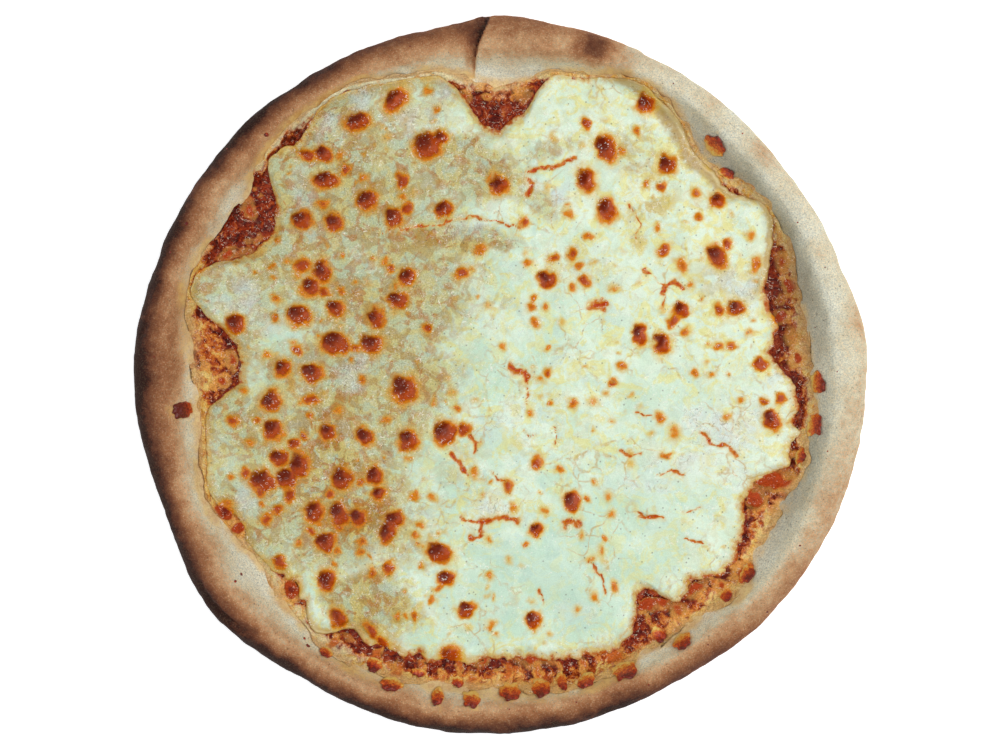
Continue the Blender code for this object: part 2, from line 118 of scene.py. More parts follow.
# Smaller blisters: (x, y, length, width, turn, strength), the golden ones of half strength
SMALL_BLISTERS = (
    (-79.7, 45, 7, 6, 0, 0.8), (-71, 34.3, 5, 5, 0, 0.8), (-43.9, 43.9, 4, 4, 0, 0.7),
    (-15.3, 41.9, 6, 5, 20, 0.75), (-29.1, 19.4, 4.5, 4.5, 0, 0.75), (-8.2, 51, 7, 5, 10, 0.6),
    (-90.9, 31.2, 4, 4, 0, 0.65), (-82.3, 11.2, 4.5, 4.5, 0, 0.75), (-94, 8.7, 6, 5, 30, 0.5),
    (-39.4, 79.7, 4.5, 7, 0, 0.8), (-62.3, 83.8, 4.5, 4.5, 0, 0.75), (-55.2, 80.7, 4, 4, 0, 0.65),
    (-71.5, 70, 5, 4.5, 0, 0.7), (-37.8, 68.4, 5, 5, 0, 0.8), (-77.5, 90, 6, 5, 0, 0.85),
    (35.2, 103.2, 4, 5, 0, 0.8), (55.7, 99.6, 4, 4, 0, 0.6), (22, 97.1, 4, 4, 0, 0.4),
    (33.2, 94, 4, 3.5, 0, 0.4), (50.1, 92, 4, 5, 0, 0.55), (59.8, 77.7, 3.5, 3.5, 0, 0.65),
    (65.4, 76.6, 4, 4, 0, 0.7), (79.7, 74.1, 4.5, 5, 0, 0.65), (80.7, 65, 4.5, 4, 0, 0.65),
    (92, 54.2, 4, 4.5, 0, 0.8), (104.2, 45.5, 5, 7, 150, 0.62), (74.1, 45, 5, 7, 0, 0.65),
    (66.4, 51.6, 7, 5, 40, 0.75), (64.4, 60.3, 3.5, 5, 0, 0.6), (36.3, 57.2, 5, 3.5, 0, 0.6),
    (28.1, 65.9, 5, 4, 0, 0.52), (10.2, 62.9, 5, 5, 0, 0.72), (22, 48, 6, 4, 10, 0.72),
    (29.6, 49.6, 4, 6, 0, 0.72), (10.7, 46, 6, 4, 15, 0.55), (33.2, 45, 4.5, 3.5, 30, 0.62),
    (34.7, 38.8, 5, 5.5, 0, 0.72), (29.6, 35.8, 4, 4, 0, 0.62), (12.8, 28.2, 4.5, 4.5, 0, 0.62),
    (18.9, 28.2, 3.5, 3.5, 0, 0.6), (13.8, 31.7, 3.5, 3.5, 0, 0.6), (46.5, 35.8, 5, 5, 0, 0.45),
    (76.6, 36.8, 4, 4, 0, 0.52), (82.2, 31.7, 3, 3, 0, 0.5), (88.9, 27.1, 5, 5, 0, 0.75),
    (70.5, 22.5, 6, 4.5, 50, 0.75), (75.6, 18.4, 5, 4, 30, 0.6), (101.1, 17.4, 4, 4, 0, 0.45),
    (94, 12.3, 5, 4, 0, 0.65), (88.9, 12.3, 4.5, 4, 0, 0.6), (49.5, 4.1, 4, 4, 0, 0.6),
    (14.8, 22, 4, 4, 0, 0.6), (19.4, 11.2, 3, 3, 0, 0.6), (19.9, 2, 4, 5, 0, 0.7),
    (79.2, 1, 4, 4, 0, 0.6), (85.8, 0.5, 4, 4, 0, 0.55), (2, 12.3, 3.5, 3.5, 0, 0.5),
    (-107.9, -17.9, 5, 5, 0, 0.75), (-98.1, -17.9, 5, 3, 0, 0.65), (-101.8, -26.6, 5, 4, 0, 0.52),
    (-76.6, -9.7, 7, 4, 10, 0.72), (-76.6, -15.8, 4, 4, 0, 0.65), (-65.4, -13.8, 4, 4, 0, 0.52),
    (-55.2, -1.5, 4, 4, 0, 0.62), (-79.3, -24, 4, 4, 0, 0.75), (-83.8, -27.6, 5, 5, 0, 0.9),
    (-84.8, -48, 5, 7, 0, 0.8), (-102.7, -38.8, 5, 5, 0, 0.7), (-89.9, -54.2, 7, 4, 20, 0.7),
    (-94.5, -57.6, 5, 5, 0, 0.72), (-111.4, -54.2, 8, 7, 0, 0.8), (-105.9, -61.7, 5, 5, 0, 0.72),
    (-88.9, -75.6, 6, 6, 0, 0.8), (-84.8, -86.8, 7, 7, 0, 0.95), (-69, -48, 5, 5, 0, 0.72),
    (-56.2, -42.4, 4, 4, 0, 0.65), (-76.6, -63.3, 5, 5, 0, 0.72), (-65.4, -61.3, 4, 4, 0, 0.65),
    (-55.7, -66.9, 4, 4, 0, 0.65), (-55.7, -71.5, 4, 4, 0, 0.62), (-65, -70.5, 4, 4, 0, 0.62),
    (-51.6, -79.7, 4, 4, 0, 0.7), (-45.5, -77.7, 5, 6, 0, 0.8), (-34.7, -64.9, 4, 4, 0, 0.62),
    (-24.5, -85.3, 6, 3, 20, 0.62), (-28.2, -90.3, 4, 4, 0, 0.62), (-34.3, -97.1, 3, 5, 0, 0.65),
    (-46, -17.4, 6, 4, 10, 0.5), (-17.4, -13.3, 4, 4, 0, 0.6), (-14.8, -21.5, 6, 5, 0, 0.85),
    (-10.2, -39.2, 5, 5, 0, 0.5), (-34.7, -49, 5, 4, 0, 0.5), (-27.6, -49, 5, 4, 0, 0.5),
    (-52, -103.5, 9, 4, 125, 0.78), (-47.5, -108.5, 8, 4, 125, 0.78), (-65.4, -98.1, 6, 9, 20, 0.88),
    (-20, -113.4, 9, 8, 0, 0.85), (30.1, -10.6, 5, 5, 0, 0.65), (12.3, -14.3, 4, 4, 0, 0.5),
    (19.9, -10.6, 3, 3, 0, 0.6), (15.3, -35.1, 5, 6, 0, 0.72), (24.5, -37.8, 4, 4, 0, 0.62),
    (3.6, -44.4, 5, 7, 0, 0.72), (18.4, -54.6, 5, 4, 0, 0.5), (35.8, -49, 4, 4, 0, 0.62),
    (45.4, -55.6, 5, 4, 0, 0.5), (44.4, -49, 4, 4, 0, 0.5), (38.3, -42.9, 3.5, 3.5, 0, 0.5),
    (10.6, -68.5, 3, 3, 0, 0.62), (33.7, -64.4, 4, 4, 0, 0.5), (42.4, -65.4, 3, 3, 0, 0.6),
    (40.9, -71, 3, 5, 0, 0.5), (37.8, -74.6, 6, 4, 20, 0.5), (46.5, -84.8, 4, 6, 0, 0.6),
    (38.8, -89.9, 3, 7, 30, 0.5), (65.4, -16.8, 5, 5, 0, 0.62), (46, -2.5, 4, 4, 0, 0.72),
    (71, -22.5, 5, 7, 0, 0.5), (53.1, -32.2, 3, 5, 0, 0.5), (67.8, -31.7, 7, 3, 15, 0.6),
    (113.4, -9.2, 4.5, 5, 0, 0.75), (107.3, -9.7, 3.5, 3.5, 0, 0.7), (98.1, -9.7, 4, 4, 0, 0.52),
    (92.4, -16.3, 4, 4, 0, 0.5), (-23.5, 96.5, 6, 6, 0, 0.95), (-66, 16, 5, 4, 0, 0.8),
    (-58.5, 11.5, 6, 4, 10, 0.72), (-32, -60.5, 4, 4, 0, 0.6), (-97, -47, 6, 4, 160, 0.7),
    (114.5, 24.5, 8, 6, 0, 0.85), (106, 5, 6, 5, 0, 0.85), (102, 57, 5, 4, 0, 0.5),
)

# Golden and tan patches of the cheese: (x, y, length, width, turn, strength)
GOLDEN_PATCHES = (
    (-11, 91, 24, 12, 160, 0.75), (63.4, 69.5, 22, 11, 15, 0.95), (57, 56, 12, 7, 60, 0.8),
    (-20, 57, 56, 9, 175, 0.7), (-49, 85, 40, 26, 20, 0.55), (-58, 37, 60, 24, 10, 0.5),
    (-70, -32, 60, 46, 0, 0.6), (-62, -60, 56, 34, 20, 0.6), (-85, 55, 24, 14, 60, 0.55),
    (-30, -68, 22, 16, 0, 0.45), (-104, -14, 14, 30, 0, 0.55), (-52, 5, 40, 16, 10, 0.45),
    (16, 72, 26, 12, 150, 0.45), (30, 46, 30, 20, 0, 0.3), (20, 92, 30, 8, 10, 0.3),
    (80, 60, 30, 14, 120, 0.3), (94, 38, 22, 14, 0, 0.3), (-35, -100, 26, 12, 150, 0.5),
    (-15, -96, 26, 14, 0, 0.35), (41, -70, 16, 26, 0, 0.3), (12, -30, 18, 12, 0, 0.3),
    (88, -56, 14, 10, 0, 0.4), (-98, 28, 16, 9, 10, 0.6), (-72, -36, 44, 30, 20, 0.9),
    (-58, -58, 40, 20, 20, 0.85), (-10, 84, 44, 26, 0, 0.6), (-62, 90, 26, 20, 0, 0.7),
    (-50, -92, 34, 28, 0, 1), (64, 92, 34, 26, 20, 0.5), (92, 34, 26, 34, 0, 0.45),
    (-52, 30, 44, 22, 0, 0.65),
)

# Plain pale ground, mint and free of toasting: (x, y, length, width, turn, strength)
MINT_PATCHES = (
    (18, -84, 76, 40, 0, 1), (52, -56, 60, 40, 0, 0.7), (-14, -90, 24, 22, 20, 0.7),
    (2, 8, 30, 30, 0, 0.5), (-28, -36, 24, 24, 0, 0.5), (64, -12, 40, 24, 0, 0.5),
    (-92, 14, 26, 14, 20, 0.7), (-100, 0, 14, 22, 0, 0.6), (24, 30, 20, 20, 0, 0.4),
)

# Milky white patches with a wet, wrinkled shine, partly the cheese's own white and partly a painted sheen:
# (x, y, length, width, turn, strength)
MILKY_SHEEN_PATCHES = (
    (-25.7, 113, 12, 8, 60, 1), (-34, 103, 20, 12, 0, 0.6), (-68, 101, 9, 14, 160, 0.8),
    (-58, 111, 12, 8, 40, 0.8), (-77, 64, 10, 22, 20, 0.7), (-84, 76, 8, 14, 10, 0.7),
    (-106, 31, 14, 10, 30, 0.9), (-96, 22, 22, 9, 160, 0.6), (27, 74, 9, 8, 0, 0.9),
    (14, 78, 10, 6, 0, 0.5), (84, 40, 14, 12, 0, 0.6), (98, 38, 12, 18, 20, 0.8),
    (88, -22, 34, 16, 150, 0.9), (74, -38, 26, 14, 10, 0.6), (102, -16, 14, 16, 0, 0.7),
    (-58, 2, 12, 10, 0, 0.7), (-50, -68, 12, 10, 0, 0.6), (-100, -50, 10, 14, 0, 0.7),
    (-62, -106, 18, 8, 145, 0.8), (-45, -114, 14, 7, 160, 0.8), (-12, 60, 14, 8, 0, 0.5),
    (60, -44, 18, 10, 0, 0.5), (34, -96, 18, 10, 20, 0.4), (0, -20, 20, 14, 30, 0.4),
    (-4, -54, 16, 10, 0, 0.6), (96, -40, 10, 12, 0, 0.6), (110, -4, 8, 10, 0, 0.5),
)
# Width of the browned skirt where the cheese climbs the rim: (angle, half width, mm)
SKIRT_WIDTH = ((52, 26, 9), (25, 12, 4), (236, 14, 4))

# Toasted pieces that lie apart: (angle, radius, length along the rim, width across it, height, turn)
TOASTED_BITS = (
    (41.8, 123.5, 7, 4.5, 2, 20), (47, 127.5, 9.5, 6.5, 2.4, 0), (186.1, 128, 6.5, 8.5, 1.8, 0),
    (237.8, 131.5, 5.5, 4, 1.8, 0), (246.5, 127, 7, 6, 2.2, 0), (250.5, 131.5, 9.5, 5.5, 2.4, 15),
    (254.8, 124.5, 6, 4.5, 2, 0), (259, 131, 5, 8, 2.4, 0), (262.2, 124.8, 4.5, 5, 2, 0),
    (265, 130.5, 7.5, 7, 2.6, 0), (271.8, 127, 8, 7.5, 2.8, 0), (277.5, 126.5, 8, 7, 2.8, 0),
    (281.6, 125.5, 4, 8.5, 2.4, 0), (286, 127.5, 8.5, 5.5, 2.2, 10), (293, 128.5, 10, 7, 2.8, 0),
    (301.5, 122.5, 5, 8.5, 2.4, 25), (304.6, 129.5, 8, 5.5, 2.6, 0), (316, 127, 6, 5.5, 2.2, 0),
    (321.6, 127.5, 10, 6, 2.6, 10), (345.3, 126, 6.5, 4.5, 2, 0), (351.2, 128.5, 9, 6.5, 2.4, 0),
    (358.8, 128.5, 9, 5.5, 2.4, 10),
)
# Toasted pieces baked darker than the rest: number and how much
DARKER_BITS = {3: 0.5}

# Looks: how brown the rim is at its crest, and how much darker its outer shoulder is, by angle, the shoulder
# partly browned and partly painted shade on the side away from the light
CREST_BROWNING = (
    (0, 0.14), (12, 0.06), (25, 0.08), (40, 0.16), (55, 0.05), (70, 0.34), (90, 0.44), (110, 0.42),
    (130, 0.5), (150, 0.46), (165, 0.52), (180, 0.58), (205, 0.4), (230, 0.4), (250, 0.42), (270, 0.46),
    (290, 0.44), (310, 0.46), (330, 0.28), (345, 0.28),
)
SHOULDER_BROWNING_AND_SHADE = (
    (0, 0.12), (12, 0.08), (40, 0.04), (70, 0.05), (90, 0.24), (110, 0.38), (130, 0.55), (150, 0.58),
    (180, 0.55), (205, 0.72), (230, 0.74), (250, 0.74), (270, 0.62), (290, 0.56), (310, 0.3), (330, 0.16),
    (345, 0.08),
)
# How far in the browning of the rim begins, as a share of its width, by angle
BROWNING_START = (
    (0, 0.25), (45, 0.36), (70, 0.05), (90, 0.1), (110, 0.1), (130, 0), (150, 0.12), (180, 0.04),
    (205, 0.15), (230, 0.12), (250, 0.1), (270, 0.1), (290, 0.14), (310, 0.16), (330, 0.3), (345, 0.2),
)
# How much painted shade darkens the foot of the rim, by angle
PAINTED_FOOT_SHADE = (
    (0, 0.45), (12, 0.7), (25, 1), (40, 0.85), (55, 0.4), (70, 0.1), (90, 0), (300, 0), (320, 0.2),
    (335, 0.5), (346, 0.95), (354, 0.65),
)
# Browned spots on the rim: (x, y, radius, strength)
BROWN_SPOTS = (
    (37.5, 133.5, 7, 0.45), (128, 49.5, 5.5, 0.16), (84, 111, 7, 0.14), (107, 90, 6, 0.18),
    (144.5, 30, 5, 0.16), (145.5, 21, 5, 0.16), (49, -129, 9, 0.22), (-12, 138, 6, 0.2),
    (-100, 104, 9, 0.12), (-131, 60, 9, 0.12),
)
# Creases pressed into the rim: (width, depth, then points x, y)
RIM_CREASES = (
    (1.3, 0.9, (-119.5, -88.5), (-112, -96), (-105, -100.5), (-99, -103.5)),
    (1, 0.6, (-115, -92), (-108.5, -99), (-102.5, -104)),
    (0.9, 0.5, (-121, -83), (-117, -90.5)),
    (0.9, 0.4, (-136.5, 38), (-139.5, 27), (-144.5, 17)),
    (0.8, 0.4, (127, 46.5), (134, 40), (139, 35)),
)

# Flecks of sauce and charred flour on the rim: (x, y, size)
RIM_FLECKS = (
    (-94, 97.5, 1.9), (-126, 61.5, 1.9), (-104.5, -80, 1.7), (-106.5, -82.5, 1.6), (-77.5, -109, 1.7),
    (93.5, -87.5, 1.6), (-132.5, 50, 1.1), (-79, -106, 1.2), (108, -95, 1), (121, -68, 1), (132, -30, 1),
    (136, 2, 0.9), (128, 20, 0.9), (120, 62, 0.9), (98, 98, 0.9), (70, 118, 0.9), (84, -108, 1),
    (60, -124, 1.1), (31, -131, 1), (4, -134, 1), (-36, 133, 1), (-12, -127.5, 0.9), (131, 44, 0.9),
    (114, -48, 0.9), (-110, 92, 1), (-139, 8, 1),
)

# The line of the fold across the rim at the top: points x, y from the rim's foot outwards
FOLD_LINE = ((-10.6, 121), (-10.6, 127), (-9.4, 134), (-6.6, 141), (-4.6, 147))

# How much further the dark sauce reaches across a bay, by angle
DARK_REACH = (
    (0, -0.05), (8, 0.1), (18, 0.15), (30, -0.1), (60, -0.5), (80, 0.15), (91, 0.38), (104, -0.1),
    (125, 0.1), (138, 0.5), (148, 0.8), (158, 0.45), (166, -0.1), (178, -0.05), (188, -0.1), (209, -0.2),
    (225, -0.1), (239, 0.1), (250, 0.06), (270, 0.14), (288, 0.14), (301, 0.22), (312, 0), (326, -0.1),
    (337, 0.25), (350, 0),
)
# How pale the film is where the cheese thins out on the rim, by angle
PALE_MARGIN = (
    (0, 0.3), (30, 0.4), (60, 0.4), (85, 0.4), (105, 0.9), (125, 0.9), (140, 0.5), (160, 0.2), (175, 0),
    (205, 0.2), (220, 0.5), (240, 0.6), (255, 0.1), (300, 0.1), (320, 0.2),
)
# Bubbles in the bays: (x, y, length, width, turn, strength)
BAY_BUBBLES = (
    (108.3, 56.4, 7, 6.5, 0, 1), (115.3, 47, 5.5, 7, 0, 0.6), (117.7, 36.8, 6, 6, 0, 0.75),
    (114.5, 24.5, 7.5, 5.5, 0, 0.75), (121, 7.4, 6, 6, 0, 0.7), (108.3, 5.3, 6, 5, 0, 0.8),
    (118.5, 16, 5, 8, 10, 0.5), (110.4, -42, 20, 8, 170, 0.8), (103, -50, 8, 7, 0, 0.85),
    (112, -53, 8, 5, 40, 0.45), (97, -56, 6, 5, 0, 0.8), (-119.5, 4.5, 4, 4, 0, 0.5),
    (-117.5, -5, 3.5, 3.5, 0, 0.5), (-112, -2, 6, 5, 0, 0.7), (-109, -8.5, 5, 5, 0, 0.7),
    (-108.5, 6.5, 6, 8, 30, 0.6), (-111, 50, 7, 4, 30, 0.65), (-101.5, 68, 5, 8, 20, 0.6),
    (-103, 49.5, 6, 5, 0, 0.6), (10.5, 114, 10, 7, 170, 0.42), (-14, 113, 6, 5, 0, 0.6),
    (78, -83.5, 9, 9.5, 30, 0.85), (90, -85, 5.5, 5.5, 0, 0.62), (100, -78.5, 10, 7, 20, 0.66),
    (86, -76.5, 8, 7, 40, 0.66), (59.5, -92, 8, 6, 0, 0.85), (66, -90.5, 8, 5, 30, 0.8),
    (13, -113.8, 11, 8, 0, 0.72), (20.5, -112, 7, 8, 0, 0.66), (-8, -115, 6, 5, 0, 0.8),
    (34, -108.5, 7, 8, 140, 0.64), (44, -105, 8, 5, 30, 0.8), (-29, -113, 7, 6, 0, 0.7),
    (-111.4, -54.2, 8, 7, 0, 0.95), (-105.9, -61.7, 5.5, 5.5, 0, 0.85), (-84.8, -86.8, 8, 8, 0, 1),
    (73, -95, 8, 7, 0, 0.55), (-46, -104, 7, 5, 40, 0.6), (-60, -104.5, 8, 5, 140, 0.5),
)

# Cracks and peeps in the cheese where oily sauce shows: (half width, then points x, y)
CRACKS = (
    (1, (58.5, 43.5), (63, 41), (67, 37.5), (71, 38.5), (73.5, 35.5)),
    (0.9, (67.5, 37), (66.5, 31.5), (67.5, 27)),
    (1.5, (38.5, 28), (42.5, 29.5), (41.5, 27.5)),
    (1.3, (3.5, 3.5), (9, 1.5), (12, 0)),
    (1.1, (10.5, 1.5), (10.5, -4), (11, -10)),
    (0.8, (44.5, -2), (47, -3.5)),
    (0.9, (9.5, -21.5), (12, -24), (14, -23)),
    (1.2, (-12, -23.5), (-9, -27), (-10.5, -32)),
    (0.9, (-20, -32.5), (-16, -34), (-13, -40)),
    (1.3, (-14.5, -57.5), (-9.5, -59.5), (-6, -58.5), (1, -56.5), (6.5, -58)),
    (1, (-7.5, -59.5), (-7, -65), (-12, -66.5)),
    (1.5, (26.5, -60), (29.5, -58.5), (33, -60)),
    (1.1, (56.5, -55), (61.5, -56.5), (66, -56.5)),
    (1.1, (81.5, -22), (86, -27.5), (91.5, -27), (96, -32)),
    (0.8, (74.5, -54.5), (80, -53)),
    (0.8, (75.5, -66), (81, -66.5), (84, -69)),
    (0.8, (12, 84), (18.5, 85), (26, 86.5), (31, 88.5)),
    (0.9, (10.5, 81), (13, 78), (11.5, 74)),
    (0.6, (-49, 58.5), (-38, 60.5), (-27, 61), (-18, 64), (-8, 64.5), (4, 61), (8, 61.5)),
    (0.8, (53, 69), (57, 62), (55, 57)),
    (0.7, (-2, -40), (3, -42.5)),
    (0.8, (22, -20), (23, -26)),
    (0.8, (56, -14), (62, -17)),
    (0.7, (49, -31), (53, -33), (56.5, -31)),
    (0.7, (37, -76), (41, -81), (43, -88)),
    (0.6, (16, -86), (17.5, -92)),
    (0.7, (64, -40), (70, -38), (75, -41)),
)


def swelling(angle, table):
    """Sum of the soft humps in a table of (angle, half width, amount)."""
    total = np.zeros_like(np.asarray(angle, float))
    for centre, half_width, amount in table:
        away = np.abs((angle - centre + 180) % 360 - 180) / half_width
        total += np.where(away < 1, amount * (0.5 + 0.5 * np.cos(np.pi * away)), 0)
    return total


def around(angle, table):
    """Value at an angle, from a table of (angle, value) that closes on itself."""
    angles, values = zip(*table)
    return np.interp(angle, angles, values, period=360)


def lumps(x, y, spacing, seed):
    """The solids' soft unevenness, from about -1 to 1."""
    draw = np.random.default_rng(seed)
    total = np.zeros_like(np.asarray(x, float))
    for _ in range(LUMP_WAVES):
        heading, phase = draw.uniform(0, 2 * math.pi, 2)
        along = x * math.cos(heading) + y * math.sin(heading)
        spread = spacing * MM * draw.uniform(*LUMP_SPREAD)
        total += np.cos(2 * math.pi * along * MM / spread + phase)
    return total / math.sqrt(LUMP_WAVES)


def smooth(low, high, value):
    """Eases from 0 at low to 1 at high."""
    share = np.clip((value - low) / (high - low), 0, 1)
    return share * share * (3 - 2 * share)


def hump(value, middle, reach):
    """A soft hump: 1 at the middle, a third of that a reach away."""
    return np.exp(-(((value - middle) / reach) ** 2))


def lattice(column, row, layer, seed):
    """A chance value from -1 to 1 for each corner of a lattice."""
    mixed = column.astype(np.uint32) * np.uint32(374761393)
    mixed = mixed + row.astype(np.uint32) * np.uint32(668265263)
    mixed = mixed + layer.astype(np.uint32) * np.uint32(2147483647) + np.uint32(seed * 974711)
    mixed = (mixed ^ (mixed >> np.uint32(13))) * np.uint32(1274126177)
    mixed = (mixed ^ (mixed >> np.uint32(16))) * np.uint32(2654435769)
    mixed = mixed ^ (mixed >> np.uint32(15))
    return mixed / 2147483648.0 - 1.0


def one_grain(x, y, z, seed):
    """Smooth noise from -1 to 1 with features of about one unit."""
    cell = [np.floor(v).astype(np.int64) for v in (x, y, z)]
    share = [v - np.floor(v) for v in (x, y, z)]
    share = [s * s * s * (s * (s * 6 - 15) + 10) for s in share]
    total = 0
    for across in (0, 1):
        for along in (0, 1):
            for up in (0, 1):
                weight = (share[0] if across else 1 - share[0]) * (share[1] if along else 1 - share[1])
                weight = weight * (share[2] if up else 1 - share[2])
                total = total + weight * lattice(cell[0] + across, cell[1] + along, cell[2] + up, seed)
    return total


def grain(x, y, z, size, seed, layers=2):
    """Noise from about -1 to 1 with features of a size, and in each further layer half the size."""
    total, strength, reached = 0, 1.0, 0.0
    for layer in range(layers):
        turn = 0.7 + 1.3 * layer
        u = (x * math.cos(turn) - y * math.sin(turn)) / size
        v = (x * math.sin(turn) + y * math.cos(turn)) / size
        total = total + strength * one_grain(u, v, z / size + 0.37 * layer, seed + 17 * layer)
        reached += strength
        strength, size = strength * 0.55, size * 0.5
    return total / reached * 1.3


def patchy(x, y, size, seed, layers=2, height=0.0):
    """The same noise over the plan, at one height."""
    return grain(x, y, np.full_like(x, height), size, seed, layers)


def polar(x, y):
    return np.hypot(x, y), np.degrees(np.arctan2(y, x)) % 360


def outer_radius(angle):
    return RIM_OUTER_RADIUS + swelling(angle, OUTLINE_SWELLINGS)


def foot_radius(angle):
    return RIM_FOOT_RADIUS + swelling(angle, FOOT_SWELLINGS)


def rim_height(angle):
    past_fold = (angle - FOLD_ANGLE + 180) % 360 - 180
    in_reach = (past_fold > 0) & (past_fold < FOLD_REACH)
    drop = np.where(in_reach, FOLD_STEP * (1 - past_fold / FOLD_REACH), 0)
    return RIM_HEIGHT + swelling(angle, HEIGHT_SWELLINGS) - drop


def rim_rise(share):
    inner = smooth(0, RIM_CREST, share)
    beyond = np.clip((share - RIM_CREST) / (1 - RIM_CREST), 0, 1)
    outer = RIM_WIDEST_HEIGHT + (1 - RIM_WIDEST_HEIGHT) * np.sqrt(1 - beyond**2)
    return np.where(share < RIM_CREST, inner, outer)


def rim_unevenness(x, y, share):
    return RIM_LUMP * lumps(x, y, RIM_LUMP_SPACING, RIM_LUMP_SEED) * smooth(0, RIM_CREST, share)


def dough_top(x, y):
    radius, angle = polar(x, y)
    foot = foot_radius(angle)
    share = (radius - foot) / (outer_radius(angle) - foot)
    rise = rim_rise(np.clip(share, 0, 1))
    return BASE_THICKNESS + (rim_height(angle) - BASE_THICKNESS) * rise + rim_unevenness(x, y, share)


def sauce_edge(angle):
    return TOPPING_RADIUS + swelling(angle, TOPPING_SWELLINGS)


def cheese_edge(angle):
    return sauce_edge(angle) - OILY_MARGIN - swelling(angle, SAUCE_BAYS)


def bay_rounding(angle):
    """How much further the melted sheet draws back at the wide bays' flanks and at its sharp tongues."""
    total = swelling(angle, DRAWN_BACK)
    for centre, half_width, depth in WIDE_BAYS:
        into_bay = swelling(angle, ((centre, half_width, 1.0),))
        total += depth * into_bay * (1 - into_bay)
    return total


def sauce_depth(x, y):
    radius, angle = polar(x, y)
    bare = sauce_edge(angle) - cheese_edge(angle)
    into_bay = np.clip((radius - cheese_edge(angle)) / bare, 0, 1)
    return SAUCE_THICKNESS * (1 - smooth(0, 1, into_bay)) + SAUCE_MOUND * bare * np.sin(np.pi * into_bay)


def sauce_top(x, y):
    return dough_top(x, y) + GAP + sauce_depth(x, y)


def cheese_top(x, y):
    uneven = CHEESE_LUMP * lumps(x, y, CHEESE_LUMP_SPACING, CHEESE_LUMP_SEED)
    return dough_top(x, y) + GAP + SAUCE_THICKNESS + GAP + CHEESE_THICKNESS + uneven


def axis_shift():
    """Middle of the solid crust's box before it was centred on the axis."""
    angle = np.arange(CAD_TURN_STEPS) * 360 / CAD_TURN_STEPS
    x = outer_radius(angle) * np.cos(np.radians(angle))
    y = outer_radius(angle) * np.sin(np.radians(angle))
    return (x.min() + x.max()) / 2, (y.min() + y.max()) / 2


SHIFT = axis_shift()


# Materials


def shown(red, green, blue):
    """A linear colour from the values it shows on screen."""
    out = []
    for value in (red, green, blue):
        value = value / 255
        out.append(value / 12.92 if value <= 0.04045 else ((value + 0.055) / 1.055) ** 2.4)
    return (*out, 1.0)


class Wire:
    """A socket of a finish, with arithmetic that adds Math nodes."""

    def __init__(self, finish, socket):
        self.finish = finish
        self.socket = socket

    def calculate(self, operation, *values):
        return self.finish.node("ShaderNodeMath", {"operation": operation}, dict(enumerate(values)))

    def __add__(self, other):
        return self.calculate("ADD", self, other)

    __radd__ = __add__

    def __sub__(self, other):
        return self.calculate("SUBTRACT", self, other)

    def __rsub__(self, other):
        return self.calculate("SUBTRACT", other, self)

    def __mul__(self, other):
        return self.calculate("MULTIPLY", self, other)

    __rmul__ = __mul__

    def magnitude(self):
        return self.calculate("ABSOLUTE", self)


